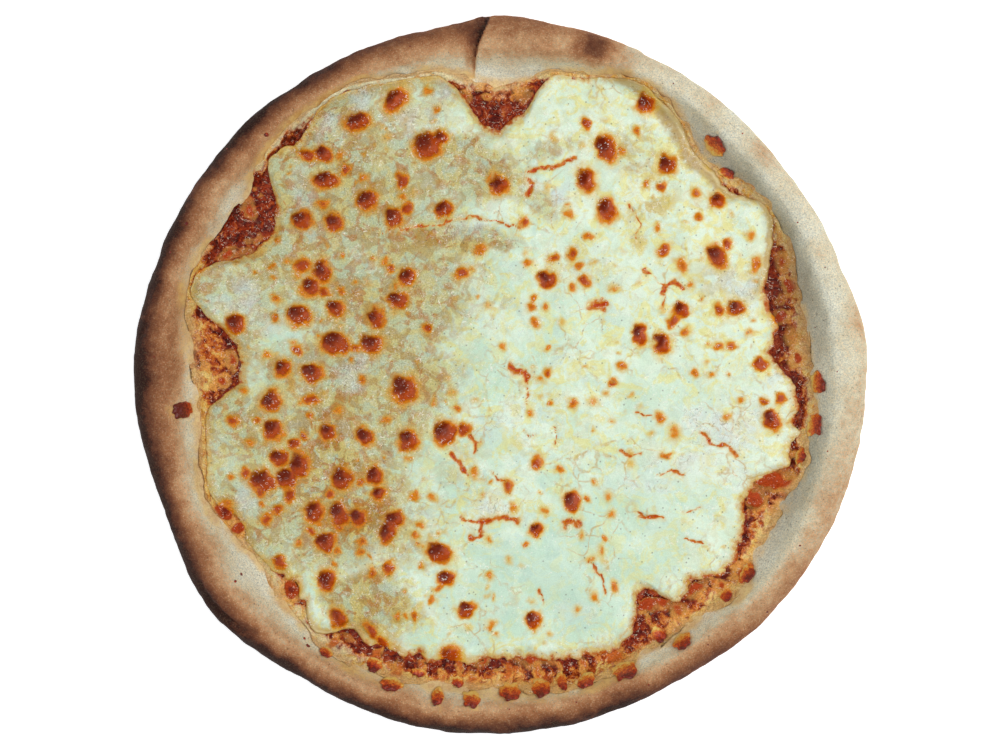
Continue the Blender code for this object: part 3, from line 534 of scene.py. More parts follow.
class Finish:
    """The node-built material of one kind of surface."""

    def __init__(self, name, **fixed):
        self.material = bpy.data.materials.new(name)
        self.material.use_nodes = True
        self.tree = self.material.node_tree
        self.shader = self.tree.nodes["Principled BSDF"]
        for socket, value in fixed.items():
            self.shader.inputs[socket.replace("_", " ")].default_value = value
        self.place = self.node("ShaderNodeTexCoord", {}, {}, "Object")

    def node(self, kind, settings, sockets, out=0):
        """Adds a node: its settings first, then the values or wires of its sockets."""
        made = self.tree.nodes.new(kind)
        for name, value in settings.items():
            if name == "stops":
                self.set_stops(made.color_ramp, value)
            else:
                setattr(made, name, value)
        for name, value in sockets.items():
            if isinstance(value, Wire):
                self.tree.links.new(value.socket, made.inputs[name])
            else:
                made.inputs[name].default_value = value
        return Wire(self, made.outputs[out])

    def set_stops(self, ramp, stops):
        while len(ramp.elements) < len(stops):
            ramp.elements.new(0.5)
        for element, (position, colour) in zip(ramp.elements, stops):
            element.position = position
            element.color = shown(*colour)

    def field(self, name):
        """A value that the mesh carries at each point."""
        return self.node("ShaderNodeAttribute", {"attribute_name": name}, {}, "Fac")

    def moved(self, seed):
        """The place on the object, moved so that each noise falls differently."""
        offset = (seed, seed * 0.7, seed * 0.3)
        return self.node("ShaderNodeVectorMath", {"operation": "ADD"}, {0: self.place, 1: offset})

    def mottle(self, size, detail=2.0, roughness=0.55, distortion=0.0, seed=0.0):
        """Noise from 0 to 1 with features of a size in millimetres."""
        sockets = {
            "Vector": self.moved(seed), "Scale": 1 / (size * MM), "Detail": detail,
            "Roughness": roughness, "Distortion": distortion,
        }
        return self.node("ShaderNodeTexNoise", {}, sockets, "Fac")

    def drift(self, size, reach):
        """A wandering offset of a reach in metres, with features of a size in millimetres."""
        sockets = {"Vector": self.place, "Scale": 1 / (size * MM), "Detail": 2.0}
        wander = self.node("ShaderNodeTexNoise", {}, sockets, "Color")
        halves = (0.5, 0.5, 0.5)
        centred = self.node("ShaderNodeVectorMath", {"operation": "SUBTRACT"}, {0: wander, 1: halves})
        return self.node("ShaderNodeVectorMath", {"operation": "SCALE"}, {0: centred, "Scale": reach})

    def cells(self, size, seed):
        """Distance from the nearest of scattered points, their spacing in millimetres."""
        sockets = {"Vector": self.moved(seed), "Scale": 1 / (size * MM)}
        return self.node("ShaderNodeTexVoronoi", {}, sockets, "Distance")

    def ease(self, low, high, wire):
        """0 below low, 1 above high, smooth between."""
        sockets = {"Value": wire, "From Min": low, "From Max": high, "To Min": 0.0, "To Max": 1.0}
        return self.node("ShaderNodeMapRange", {"interpolation_type": "SMOOTHSTEP"}, sockets)

    def thread(self, wave, level, width):
        """Thin lines where a noise passes a level: 1 on the line."""
        return 1 - self.ease(0.4 * width, width, (wave - level).magnitude())

    def glints(self, level, patch):
        """Short bright arcs, gathered in patches of a size in millimetres."""
        line = self.thread(self.mottle(1.1, 0.0, seed=5.3), level, 0.035)
        return line * self.ease(0.50, 0.58, self.mottle(patch, 1.0, seed=6.9))

    def blend(self, factor, first, second, kind="MIX"):
        """Mixes two colours, each a wire or the values that it shows on screen."""
        first, second = (shown(*value) if isinstance(value, tuple) else value for value in (first, second))
        sockets = {0: factor, 6: first, 7: second}
        return self.node("ShaderNodeMix", {"data_type": "RGBA", "blend_type": kind}, sockets, 2)

    def paint(self, factor, colour, kind="MIX"):
        """Lays a colour over the finish as far as the factor says."""
        self.colour = self.blend(factor, self.colour, colour, kind)

    def ramp(self, wire, *stops):
        return self.node("ShaderNodeValToRGB", {"stops": stops}, {"Fac": wire}, "Color")

    def complete(self, roughness, height, depth):
        """Joins up colour, roughness and small relief, whose height from 0 to 1 is depth in millimetres."""
        bump = self.node("ShaderNodeBump", {}, {"Height": height, "Distance": depth * MM, "Strength": 1.0})
        for socket, wire in (("Base Color", self.colour), ("Roughness", roughness), ("Normal", bump)):
            self.tree.links.new(wire.socket, self.shader.inputs[socket])
        return self.material


def dough_finish():
    dough = Finish("baked_dough_surface", Specular_IOR_Level=0.14)
    toast, stain, dust, dim = (dough.field(name) for name in ("toast", "stain", "dust", "dim"))
    broad = dough.mottle(9.0, 3.0)
    middle = dough.mottle(2.6, 3.0, 0.7, seed=0.3)
    gritty = dough.mottle(0.6, 2.0, 0.7, seed=0.6)
    brown = toast + (broad - 0.5) * 0.26 + (middle - 0.5) * 0.34 + (gritty - 0.5) * 0.50
    dough.colour = dough.ramp(
        brown,
        (0.0, (234, 234, 216)), (0.20, (222, 210, 178)), (0.40, (200, 154, 110)),
        (0.58, (162, 106, 69)), (0.78, (116, 69, 46)), (0.92, (80, 43, 31)), (1.0, (48, 26, 20)),
    )
    dough.paint(dust * 0.5, (214, 214, 196))
    # Painted shade at the foot of the rim, where its inner slope faces away from the light
    dough.paint(dim * 0.88, (118, 113, 92))
    flour = dough.ease(0.50, 0.70, dough.mottle(0.62, 2.0, seed=1.9))
    dough.paint(flour * (0.34 - dough.ease(0.45, 0.85, brown) * 0.28), (236, 208, 164))
    pits = dough.ease(0.64, 0.76, dough.mottle(0.9, 1.0, seed=0.9))
    dough.paint(pits * 0.5, (70, 46, 34))
    shade = dough.ease(0.28, 0.72, gritty) * 0.60 + 0.69
    dough.paint(1.0, shade, "MULTIPLY")
    oily = dough.ease(0.2, 0.8, stain + (middle - 0.5) * 0.6)
    oil = dough.ramp(middle, (0.4, (216, 158, 70)), (0.6, (236, 200, 122)))
    dough.paint(oily * 0.70, oil)
    return dough.complete(0.82 - oily * 0.4, middle * 0.6 + gritty * 0.4, 0.7)


def cheese_finish():
    cheese = Finish("melted_cheese_surface", Specular_IOR_Level=0.18, Coat_Weight=0.06, Coat_Roughness=0.05)
    roast, crack, skirt, lip = (cheese.field(name) for name in ("roast", "crack", "skirt", "lip"))
    gold, milk, mint, inward = (cheese.field(name) for name in ("gold", "milk", "mint", "inward"))
    tanned, sunny, char = (cheese.field(name) for name in ("tanned", "sunny", "char"))
    broad = cheese.mottle(14.0, 3.0)
    mid = cheese.mottle(4.6, 3.0, 0.6, 0.8, seed=0.4)
    small = cheese.mottle(1.9, 3.0, 0.6, 0.6, seed=2.1)
    fine = cheese.mottle(0.5, 1.0, seed=0.8)
    # The pale ground: mint, bluish white and cream
    cheese.colour = cheese.blend(cheese.ease(0.38, 0.62, broad), (212, 240, 214), (234, 252, 230))
    bluish = cheese.ease(0.50, 0.66, cheese.mottle(7.0, 3.0, 0.6, 0.8, seed=3.3))
    cheese.paint(bluish * 0.5, (198, 226, 216))
    cheese.paint(mint * 0.55, (196, 230, 208))
    cream = cheese.ease(0.48, 0.62, cheese.mottle(6.0, 4.0, 0.65, 1.0, seed=8.9) + gold * 0.06)
    cheese.paint(cream * (0.70 - mint * 0.45), (238, 234, 144))
    # Painted light: paler and yellower toward the side the light comes from
    cheese.paint(sunny * 0.5, cheese.blend(cream, (242, 254, 230), (246, 242, 170)))
    dull = cheese.ease(0.05, 0.6, tanned) * 0.85
    cheese.paint(dull, cheese.blend(bluish, (192, 196, 152), (184, 196, 168)))
    # Toasted patches: straw, tan and rust
    near = cheese.ease(0.02, 0.45, roast) * 0.10
    cloud = cheese.mottle(8.0, 3.0, 0.5, 1.2, seed=5.9)
    straw = cheese.ease(0.49, 0.58, cloud * 0.7 + mid * 0.3 + gold * 0.05 + near * 0.3)
    cheese.paint(straw * (gold * 0.6 + 0.12 - mint * 0.12), (222, 194, 92))
    tan = cheese.ease(0.51, 0.58, cheese.mottle(8.0, 3.0, 0.5, 1.0, seed=1.3) + gold * 0.03 + near * 0.6)
    cheese.paint(tan * tanned * 0.95, (176, 130, 52))
    rust = cheese.ease(0.54, 0.62, cheese.mottle(5.0, 3.0, 0.5, 0.8, seed=4.7) + near * 0.8)
    cheese.paint(rust * tanned * 0.9, (188, 110, 24))
    # Milky white, partly the cheese's own colour and partly a painted sheen
    cheese.paint(milk * 0.85 * (1 - tanned * 0.4), (226, 236, 236))
    # The border and the skirt on the rim
    sheer = inward + (mid - 0.5) * 7.0 + (small - 0.5) * 4.0
    cheese.paint((1 - cheese.ease(0.8, 5.0, sheer)) * 0.8, (224, 180, 84))
    cheese.paint(1 - cheese.ease(-0.4, 2.0, sheer), (188, 88, 26))
    olive = cheese.ease(0.10, 0.65, skirt + (mid - 0.5) * 0.7)
    cheese.paint(olive * 0.85, cheese.blend(small, (206, 178, 98), (160, 108, 46)))
    cheese.paint(lip * 0.8, (230, 216, 164))
    # Thin veins, and wrinkles painted as a line of shade with a painted highlight beside it
    wander = {0: cheese.place, 1: cheese.drift(10.0, 0.012)}
    course = cheese.node("ShaderNodeVectorMath", {"operation": "ADD"}, wander)
    spacing = {"Vector": course, "Scale": 1 / (11.0 * MM)}
    border = cheese.node("ShaderNodeTexVoronoi", {"feature": "DISTANCE_TO_EDGE"}, spacing)
    vein = 1 - cheese.ease(0.008, 0.06, border)
    veined = cheese.ease(0.46, 0.62, cheese.mottle(26.0, 2.0, seed=6.1)) * cheese.ease(0.35, 0.6, mid)
    cheese.paint(vein * veined * (0.60 - tanned * 0.4), (206, 164, 74))
    # Patches where the painted wrinkle shading and the painted glints gather
    painted_shine_patches = cheese.ease(0.40, 0.58, cheese.mottle(8.0, 3.0, seed=9.5))
    painted_fold_shading = painted_shine_patches * (milk * 0.7 + gold * 0.15 + 0.12 - mint * 0.10)
    for size, share, seed in ((4.2, 0.9, 7.7), (2.2, 0.45, 8.3)):
        wave = cheese.mottle(size, 1.0, 0.6, 1.2, seed)
        cheese.paint(cheese.thread(wave, 0.46, 0.026) * painted_fold_shading * share, (140, 118, 70))
        cheese.paint(cheese.thread(wave, 0.50, 0.030) * painted_fold_shading * share, (250, 252, 240))
    # Blisters: a golden halo, an orange rim and a dark speckled middle
    halo = cheese.ease(0.08, 0.42, roast + (mid - 0.5) * 0.30)
    cheese.paint(halo * 0.8, cheese.blend(tanned, (230, 190, 80), (208, 146, 46)))
    heat = roast + (small - 0.5) * 0.22 + (mid - 0.5) * 0.16
    cheese.paint(cheese.ease(0.32, 0.48, heat), (226, 134, 20))
    cheese.paint(cheese.ease(0.48, 0.68, heat), (188, 72, 6))
    # Scorched middles, partly char and partly painted shade, moved toward the upper left
    scorch_and_shade = char + (small - 0.5) * 0.4 + (fine - 0.5) * 0.6
    cheese.paint(cheese.ease(0.42, 0.95, scorch_and_shade) * 0.9, (102, 20, 2))
    # Cracks, where oily sauce shows
    torn = crack + (small - 0.5) * 1.6
    cheese.paint(cheese.ease(-3.0, 0.0, torn) * 0.5, (234, 196, 104))
    cheese.paint(cheese.ease(-0.9, 0.1, torn), (212, 124, 34))
    cheese.paint(cheese.ease(0.1, 0.8, torn), (188, 62, 14))
    busy = cheese.ease(0.1, 0.7, tanned + milk * 0.3 + roast * 0.6)
    shade = cheese.ease(0.25, 0.75, fine) * (busy * 0.26 + 0.10) + (0.88 - busy * 0.18)
    cheese.paint(1.0, shade, "MULTIPLY")
    specks = 1 - cheese.ease(0.07, 0.13, cheese.cells(3.4, seed=1.7))
    cheese.paint(specks * 0.5, (88, 76, 56))
    # Wet glints: short bright arcs
    arc = cheese.glints(0.62, 1.7)
    cheese.paint(arc * (painted_shine_patches * 0.60 + 0.10), (255, 253, 240))
    wrinkle = cheese.mottle(2.2, 3.0, 0.6, 0.8, seed=0.1)
    rough = cheese.ease(0.3, 0.8, milk * 0.7 + gold * 0.6 + roast * 0.5) * 0.8 + 0.2
    return cheese.complete(0.14 + small * 0.18, (wrinkle * 0.8 + fine * 0.15) * rough + broad * 0.5, 1.4)


def sauce_finish():
    sauce = Finish("tomato_sauce_surface", Specular_IOR_Level=0.12, Coat_Weight=0.04, Coat_Roughness=0.08)
    ripe, bubble, arm, pale = (sauce.field(name) for name in ("ripe", "bubble", "arm", "pale"))
    margin, dim = (sauce.field(name) for name in ("margin", "dim"))
    lump = sauce.mottle(3.4, 3.0, 0.65, 0.8)
    broad = sauce.mottle(8.0, 2.0, seed=0.5)
    fine = sauce.mottle(0.6, 1.0, seed=0.9)
    tone = lump * 0.85 + fine * 0.15
    sauce.colour = sauce.ramp(
        tone, (0.32, (56, 6, 2)), (0.44, (100, 20, 4)), (0.56, (150, 48, 10)), (0.70, (186, 92, 36)),
    )
    orange = sauce.ramp(tone, (0.34, (132, 40, 14)), (0.48, (190, 84, 24)), (0.64, (222, 146, 56)))
    golden = sauce.ramp(tone, (0.34, (190, 108, 34)), (0.46, (222, 158, 60)), (0.62, (232, 200, 116)))
    reach = ripe + (broad - 0.5) * 1.0 + (lump - 0.5) * 0.7
    sauce.paint(sauce.ease(0.32, 0.50, reach), orange)
    sauce.paint(sauce.ease(0.52, 0.72, reach), golden)
    thin = sauce.ease(0.42, 0.62, sauce.mottle(4.6, 3.0, 0.6, 1.0, seed=3.9) + pale * 0.16)
    sauce.paint(thin * sauce.ease(0.40, 0.62, reach) * pale, (226, 222, 184))
    veil = sauce.ease(0.54, 0.68, sauce.mottle(3.0, 3.0, 0.6, 1.2, seed=2.7))
    sauce.paint(veil * 0.14, (214, 150, 122))
    sauce.paint(sauce.ease(0.20, 0.80, arm + (lump - 0.5) * 1.6) * 0.75, (226, 160, 74))
    sauce.paint(sauce.ease(0.55, 0.95, arm + (broad - 0.5) * 2.6) * 0.8, (192, 84, 24))
    swollen = bubble + (lump - 0.5) * 0.22
    ringed = sauce.ease(0.1, 0.5, ripe) * 0.4 + 0.4
    sauce.paint(sauce.ease(0.12, 0.34, swollen) * ringed, (226, 160, 78))
    sauce.paint(sauce.ease(0.42, 0.60, swollen), (180, 66, 18))
    sauce.paint(sauce.ease(0.74, 1.0, swollen), (116, 26, 12))
    thinned = sauce.ease(0.70, 1.0, margin + (broad - 0.5) * 0.5)
    sauce.paint(thinned * 0.8, sauce.blend(lump, (178, 118, 62), (232, 196, 134)))
    shade = sauce.ease(0.25, 0.75, fine) * 0.36 + 0.80
    sauce.paint(1.0, shade, "MULTIPLY")
    # Painted shade on the sauce in the rim's shadow on the right
    sauce.paint(dim, (214, 208, 204), "MULTIPLY")
    sauce.paint(sauce.glints(0.60, 1.8) * 0.55, (255, 234, 208))
    return sauce.complete(0.20 + fine * 0.2, lump * 0.7 + fine * 0.3, 1.6)


def toasted_finish():
    toasted = Finish("toasted_cheese_surface", Specular_IOR_Level=0.4, Coat_Weight=0.2, Coat_Roughness=0.15)
    tip = toasted.field("tip")
    lump = toasted.mottle(1.6, 3.0, 0.65, 0.4)
    fine = toasted.mottle(0.6, 1.0, seed=0.5)
    toasted.colour = toasted.ramp(
        tip + (lump - 0.5) * 1.3 + (fine - 0.5) * 0.6,
        (0.0, (240, 204, 112)), (0.20, (234, 152, 50)), (0.42, (212, 92, 24)), (0.66, (168, 46, 14)),
        (0.95, (104, 22, 8)),
    )
    return toasted.complete(0.26 + fine * 0.2, lump * 0.6 + fine * 0.4, 0.9)


# Meshes


def make_piece(name, points, faces, material, fields):
    """A mesh object from points in millimetres about the solids' own middle, with its fields."""
    points = (np.asarray(points, float) - (*SHIFT, 0)) * MM
    mesh = bpy.data.meshes.new(name)
    mesh.from_pydata(points.tolist(), [], faces)
    mesh.materials.append(material)
    for field, values in fields.items():
        mesh.attributes.new(field, "FLOAT", "POINT").data.foreach_set("value", np.asarray(values, np.float32))
    mesh.shade_smooth()
    mesh.validate()
    piece = bpy.data.objects.new(name, mesh)
    bpy.context.scene.collection.objects.link(piece)
    return piece


def wall(first, second):
    """Quads between two rings of equally many points, given by their numbers."""
    return np.stack((first, second, np.roll(second, -1), np.roll(first, -1)), axis=1).tolist()


def fan(ring, middle):
    """Triangles from a ring of points to one point, given by their numbers."""
    return np.stack((ring, np.roll(ring, -1), np.full(len(ring), middle)), axis=1).tolist()


def ring_solid(rings):
    """Points and faces of a closed body from rings of points, from its top middle out and under."""
    numbers = np.arange(rings[..., 0].size).reshape(rings.shape[:2])
    points = np.vstack((rings.reshape(-1, 3), rings[0].mean(axis=0), rings[-1].mean(axis=0)))
    faces = fan(numbers[0], numbers.size) + fan(numbers[-1][::-1], numbers.size + 1)
    for upper, lower in zip(numbers[:-1], numbers[1:]):
        faces += wall(upper, lower)
    return points, faces


def ring_fields(shape, values):
    """Fields for the points of a ring solid, those of its two middles included."""
    fields = {}
    for name, value in values.items():
        flat = np.broadcast_to(value, shape).ravel()
        fields[name] = np.concatenate((flat, flat[:1], flat[-1:]))
    return fields


def close_under(points, faces, border, rings, middle):
    """Closes a sheet with rings of points that run from its border back under it to one point."""
    upper = border
    for ring in rings:
        lower = len(points) + np.arange(len(ring))
        points = np.vstack((points, ring))
        faces = faces + wall(upper, lower)
        upper = lower
    return np.vstack((points, middle)), faces + fan(upper[::-1], len(points))


def ring_normals(rings):
    around_ring = np.roll(rings, -1, axis=1) - np.roll(rings, 1, axis=1)
    down_profile = np.gradient(rings, axis=0)
    normal = np.cross(down_profile, around_ring)
    return normal / np.maximum(np.linalg.norm(normal, axis=2, keepdims=True), 1e-9)


def stroke_distance(x, y, points):
    """Distance from each place to the line through the points."""
    nearest = np.full(x.shape, 1e6)
    for (x0, y0), (x1, y1) in zip(points[:-1], points[1:]):
        dx, dy = x1 - x0, y1 - y0
        share = np.clip(((x - x0) * dx + (y - y0) * dy) / (dx * dx + dy * dy), 0, 1)
        nearest = np.minimum(nearest, np.hypot(x - x0 - share * dx, y - y0 - share * dy))
    return nearest


CRUST_STEPS = 960
# How far the dressed rim lies inside the solid one, so that its relief stays within it
SKIN_INSET = 0.35
# Where the golden stain reaches further up the rim: (angle, half width, mm)
STAIN_REACH = ((272, 50, 2.0), (190, 40, 2.0))


def build_crust(material):
    angle = np.arange(CRUST_STEPS) * 360 / CRUST_STEPS
    foot, outer = foot_radius(angle), outer_radius(angle) - SKIN_INSET
    direction = np.stack((np.cos(np.radians(angle)), np.sin(np.radians(angle))), axis=1)
    rings, shares, unders = [], [], []
    fold_x, fold_y = np.array(FOLD_LINE).T
    fold_radius, fold_angle = polar(fold_x, fold_y)

    def add_ring(radius, z, share, under):
        rings.append(np.column_stack((direction * radius[:, None], np.broadcast_to(z, radius.shape))))
        shares.append(np.full(CRUST_STEPS, share))
        unders.append(np.full(CRUST_STEPS, under))

    for share in (0.1, 0.3, 0.5, 0.7, 0.84, 0.92, 0.97):
        add_ring(share * foot, BASE_THICKNESS, 0.0, 0.0)
    inner = np.linspace(0, RIM_CREST, 26)
    outward = RIM_CREST + (1 - RIM_CREST) * np.sin(np.radians(np.linspace(4, 90, 22)))
    for share in (*inner, *outward):
        radius = foot + share * (outer - foot)
        x, y = direction.T * radius
        rise = rim_rise(np.array(share))
        bend = np.interp(radius, fold_radius, fold_angle) - FOLD_ANGLE
        height = rim_height(angle - bend * swelling(angle, ((FOLD_ANGLE, 20, 1.0),)))
        z = BASE_THICKNESS + (height - BASE_THICKNESS) * rise + rim_unevenness(x, y, np.array(share))
        add_ring(radius, z, share, 0.0)
    widest = rings[-1][:, 2]
    for turn in np.linspace(6, 90, 15):
        lean = math.radians(turn)
        inward = UNDERSIDE_CURVE * (outer - foot) * (1 - math.cos(lean))
        add_ring(outer - inward, widest * (1 - math.sin(lean)), 1.0, turn / 90)
    for share in (0.92, 0.75, 0.5, 0.3, 0.1):
        add_ring(share * (outer - UNDERSIDE_CURVE * (outer - foot)), 0.0, 1.0, 1.0)

    rings = np.array(rings)
    shares, unders = np.array(shares), np.array(unders)
    x, y, z = rings[..., 0], rings[..., 1], rings[..., 2]
    # Relief: soft bubbles, small bumps and pressed creases, none of it on the flat underside
    loose = smooth(0.02, 0.3, shares) * (1 - smooth(0.3, 0.9, unders))
    relief = 0.45 * grain(x, y, z, 9.0, 3) + 0.20 * grain(x, y, z, 3.2, 7) - 0.55
    for width, depth, *points in RIM_CREASES:
        away = stroke_distance(x, y, points)
        relief = relief - depth * hump(away, 0, width) + 0.3 * depth * hump(away, 2 * width, width)
    fold = stroke_distance(x, y, FOLD_LINE)
    past_fold = x - np.interp(y, fold_y, fold_x)
    rim_top = (shares > 0) & (unders == 0) & (y > 110)
    relief = relief - 0.8 * hump(fold, 0, 0.9) * rim_top
    relief = relief + 0.7 * hump(past_fold, 4.0, 4.5) * hump(y, 136, 8) * rim_top
    rings = rings + ring_normals(rings) * (relief * loose)[..., None]
    rings[..., 2] = np.maximum(rings[..., 2], 0)

    start = around(angle, BROWNING_START)
    crest = smooth(start, start + 0.42, shares + 0.07 * grain(x, y, z, 14.0, 21))
    shoulder = smooth(0.50, 1.05, shares + 0.06 * grain(x, y, z, 10.0, 23))
    # The shoulder's darkness holds painted shade on the side away from the light as well as browning
    toast = around(angle, CREST_BROWNING) * crest + around(angle, SHOULDER_BROWNING_AND_SHADE) * shoulder
    for x0, y0, radius, strength in BROWN_SPOTS:
        away = np.hypot(x - x0, y - y0) / radius + 0.3 * grain(x, y, z, 5.0, 29)
        toast = toast + strength * hump(away, 0, 1)
    toast = toast - 0.25 * smooth(0.35, 1.0, unders) * (toast > 0.4)
    toast = toast + 0.09 * grain(x, y, z, 16.0, 31, 3)
    # Painted shade on the low side of the fold and along its line, and a painted highlight on the raised lip
    # past it
    fold_painted_light_and_shade = 0.22 * hump(past_fold, -1.6, 2.2) - 0.08 * hump(past_fold, 1.8, 1.6) + 0.35 * hump(fold, 0, 0.6)
    toast = toast + rim_top * np.where(shares > 0.12, fold_painted_light_and_shade, 0)
    beyond = np.hypot(x, y) - sauce_edge(angle)
    reach = 4.0 + swelling(angle, STAIN_REACH)
    stain = np.clip(1.0 - beyond / reach, 0, 1) * (0.75 + 0.5 * grain(x, y, z, 7.0, 37))
    for bit_angle, radius, length, width, _, _ in TOASTED_BITS:
        oval = bit_oval(bit_angle, radius - 0.3 * width, 0.8 * length, 1.2 * width)
        stain = np.maximum(stain, 1.15 - 0.5 * oval_distance(x, y, oval) + 0.3 * grain(x, y, z, 3.0, 39))
    # Painted shade at the foot of the rim, fading up its inner slope; the stain is kept faint under it
    painted_foot_shade_strength = around(angle, PAINTED_FOOT_SHADE)
    stain = stain * (unders == 0) * (1 - 0.6 * painted_foot_shade_strength)
    dust = np.clip(0.5 - toast, 0, 1) * (0.6 + 0.6 * grain(x, y, z, 12.0, 41))
    dim = painted_foot_shade_strength * (1 - smooth(0.0, 0.85, shares + 0.10 * grain(x, y, z, 12.0, 43)))
    fields = ring_fields(x.shape, {"toast": toast, "stain": stain, "dust": dust, "dim": dim})
    return make_piece("baked_crust", *ring_solid(rings), material, fields)


SAUCE_STEPS = 960
SAUCE_NOISE_RADIUS = 126
# Bays of mixed and of dark sauce, and painted shade on the sauce in the rim's shadow: (angle, half width,
# amount)
MIXED_BAY = ((176, 17, 0.75),)
DARK_BAY = ((147, 18, 0.4),)
PAINTED_SAUCE_SHADE = ((14, 30, 0.9),)
# The toasted pieces along the bottom, joined to the cheese by golden streaks
STREAKED_BITS = TOASTED_BITS[3:20]


def sauce_bubbles():
    """The larger bubbles of the bays and seeded small ones, more of them where a bay is deep."""
    draw = np.random.default_rng(91)
    rows = list(BAY_BUBBLES)
    for _ in range(120):
        angle, share, chance = draw.uniform(0, 360), draw.uniform(0.1, 0.95), draw.uniform(0, 14)
        size, turn, strength = draw.uniform(1.4, 3.6), draw.uniform(0, 180), draw.uniform(0.25, 0.60)
        near, far = float(cheese_edge(angle)), float(sauce_edge(angle))
        radius = near + share * (far - near)
        if chance < far - near:
            x, y = radius * math.cos(math.radians(angle)), radius * math.sin(math.radians(angle))
            rows.append((x, y, size * 1.2, size, turn, strength))
    return rows


def build_sauce(material):
    angle = np.arange(SAUCE_STEPS) * 360 / SAUCE_STEPS
    cosine, sine = np.cos(np.radians(angle)), np.sin(np.radians(angle))
    cheese = cheese_edge(angle)
    edge_x, edge_y = SAUCE_NOISE_RADIUS * cosine, SAUCE_NOISE_RADIUS * sine
    edge = sauce_edge(angle) + 1.3 * patchy(edge_x, edge_y, 6.0, 51) + 0.5
    rings = []
    shares = [-0.9, -0.6, -0.3, *np.linspace(-0.1, 0, 9)[:-1], *np.linspace(0, 1, 27)]
    for share in shares:
        radius = cheese * (1 + share) if share < 0 else cheese + share * (edge - cheese)
        x, y = radius * cosine, radius * sine
        lump = 0.55 * patchy(x, y, 3.4, 53) + 0.25 * patchy(x, y, 1.6, 57, 1)
        end = smooth(0.8, 1.0, share)
        lift = (GAP + sauce_depth(x, y) + lump * smooth(-0.1, 0.0, share)) * (1 - end) - 0.45 * end
        rings.append(np.column_stack((x, y, dough_top(x, y) + lift)))
    for share in (0.9, 0.5, 0.0, -0.04, -0.09, -0.3, -0.7):
        radius = cheese * (1 + share) if share < 0 else cheese + share * (edge - cheese)
        x, y = radius * cosine, radius * sine
        rings.append(np.column_stack((x, y, dough_top(x, y) - 0.4)))
    rings = np.array(rings)
    x, y = rings[..., 0], rings[..., 1]
    warp = [1.3 * patchy(x, y, 3.6, seed) for seed in (54, 55)]
    bubble, _, rise = blister_fields(x, y, sauce_bubbles(), warp)
    # Ripe: from dark sauce to a golden film; arm: streaks from the cheese to the toasted pieces
    opening = cheese - bay_rounding(angle)
    bare = sauce_edge(angle) - opening
    across = (np.hypot(x, y) - opening) / bare
    shows = (across > 0) & (np.arange(len(rings)) < len(shares))[:, None]
    across = np.clip(across, 0, 1)
    rings[..., 2] += rise * shows * (1 - smooth(0.75, 1.0, across))
    ripe = across - around(angle, DARK_REACH) + 0.6 * (1 - smooth(2.5, 7.0, bare))
    ripe = ripe + (0.40 - ripe) * swelling(angle, MIXED_BAY)
    margin = across * (1 - swelling(angle, DARK_BAY))
    arm = np.zeros_like(x)
    for bit_angle, radius, length, width, _, _ in STREAKED_BITS:
        oval = bit_oval(bit_angle, radius - 0.5 * width - 2.0, 0.65 * length, 11.0)
        arm = np.maximum(arm, hump(oval_distance(x, y, oval, warp), 0, 1))
    # One of these fields is painted shade for the sauce in the rim's shadow, on the right
    fields = ring_fields(x.shape, {
        "ripe": ripe, "bubble": bubble * shows, "arm": arm * shows, "pale": around(angle, PALE_MARGIN),
        "margin": margin, "dim": swelling(angle, PAINTED_SAUCE_SHADE),
    })
    return make_piece("sauce_layer", *ring_solid(rings), material, fields)


CHEESE_CELLS = 290
CHEESE_NOISE_RADIUS = 118
# Rings under the border of the sheet: (how far in, how far below the sauce's top)
BORDER_RINGS = ((0.02, 0.35), (0.35, 0.8), (3, 0.9), (8, 0.9), (60, 0.9))


def disc_grid(cells):
    """A square grid spread evenly over a unit disc: x, y, faces, and its border point numbers in order."""
    line = np.linspace(-1, 1, cells + 1)
    u, v = (a.ravel() for a in np.meshgrid(line, line, indexing="ij"))
    wide = np.abs(u) > np.abs(v)
    radius = np.where(wide, u, v)
    safe = np.where(radius == 0, 1, radius)
    turn = np.where(wide, math.pi / 4 * v / safe, math.pi / 2 - math.pi / 4 * u / safe)
    side = cells + 1
    corner = (np.arange(cells)[:, None] * side + np.arange(cells)[None, :]).ravel()
    faces = np.stack((corner, corner + side, corner + side + 1, corner + 1), axis=1).tolist()
    last = cells * side
    border = [*range(0, last, side), *range(last, last + cells)]
    border += [*range(last + cells, cells, -side), *range(cells, 0, -1)]
    return radius * np.cos(turn), radius * np.sin(turn), faces, np.array(border)


def oval_distance(x, y, row, shift=(0, 0)):
    """Distance from the middle of an oval, 1 at its edge."""
    x0, y0, length, width, turn = row[:5]
    cosine, sine = math.cos(math.radians(turn)), math.sin(math.radians(turn))
    dx, dy = x - x0 + shift[0], y - y0 + shift[1]
    return np.hypot((dx * cosine + dy * sine) * 2 / length, (dy * cosine - dx * sine) * 2 / width)


def bit_oval(angle, radius, length, width):
    """An oval row for a spot on a ray from the middle, its length along the rim."""
    turn = math.radians(angle)
    return radius * math.cos(turn), radius * math.sin(turn), length, width, angle + 90


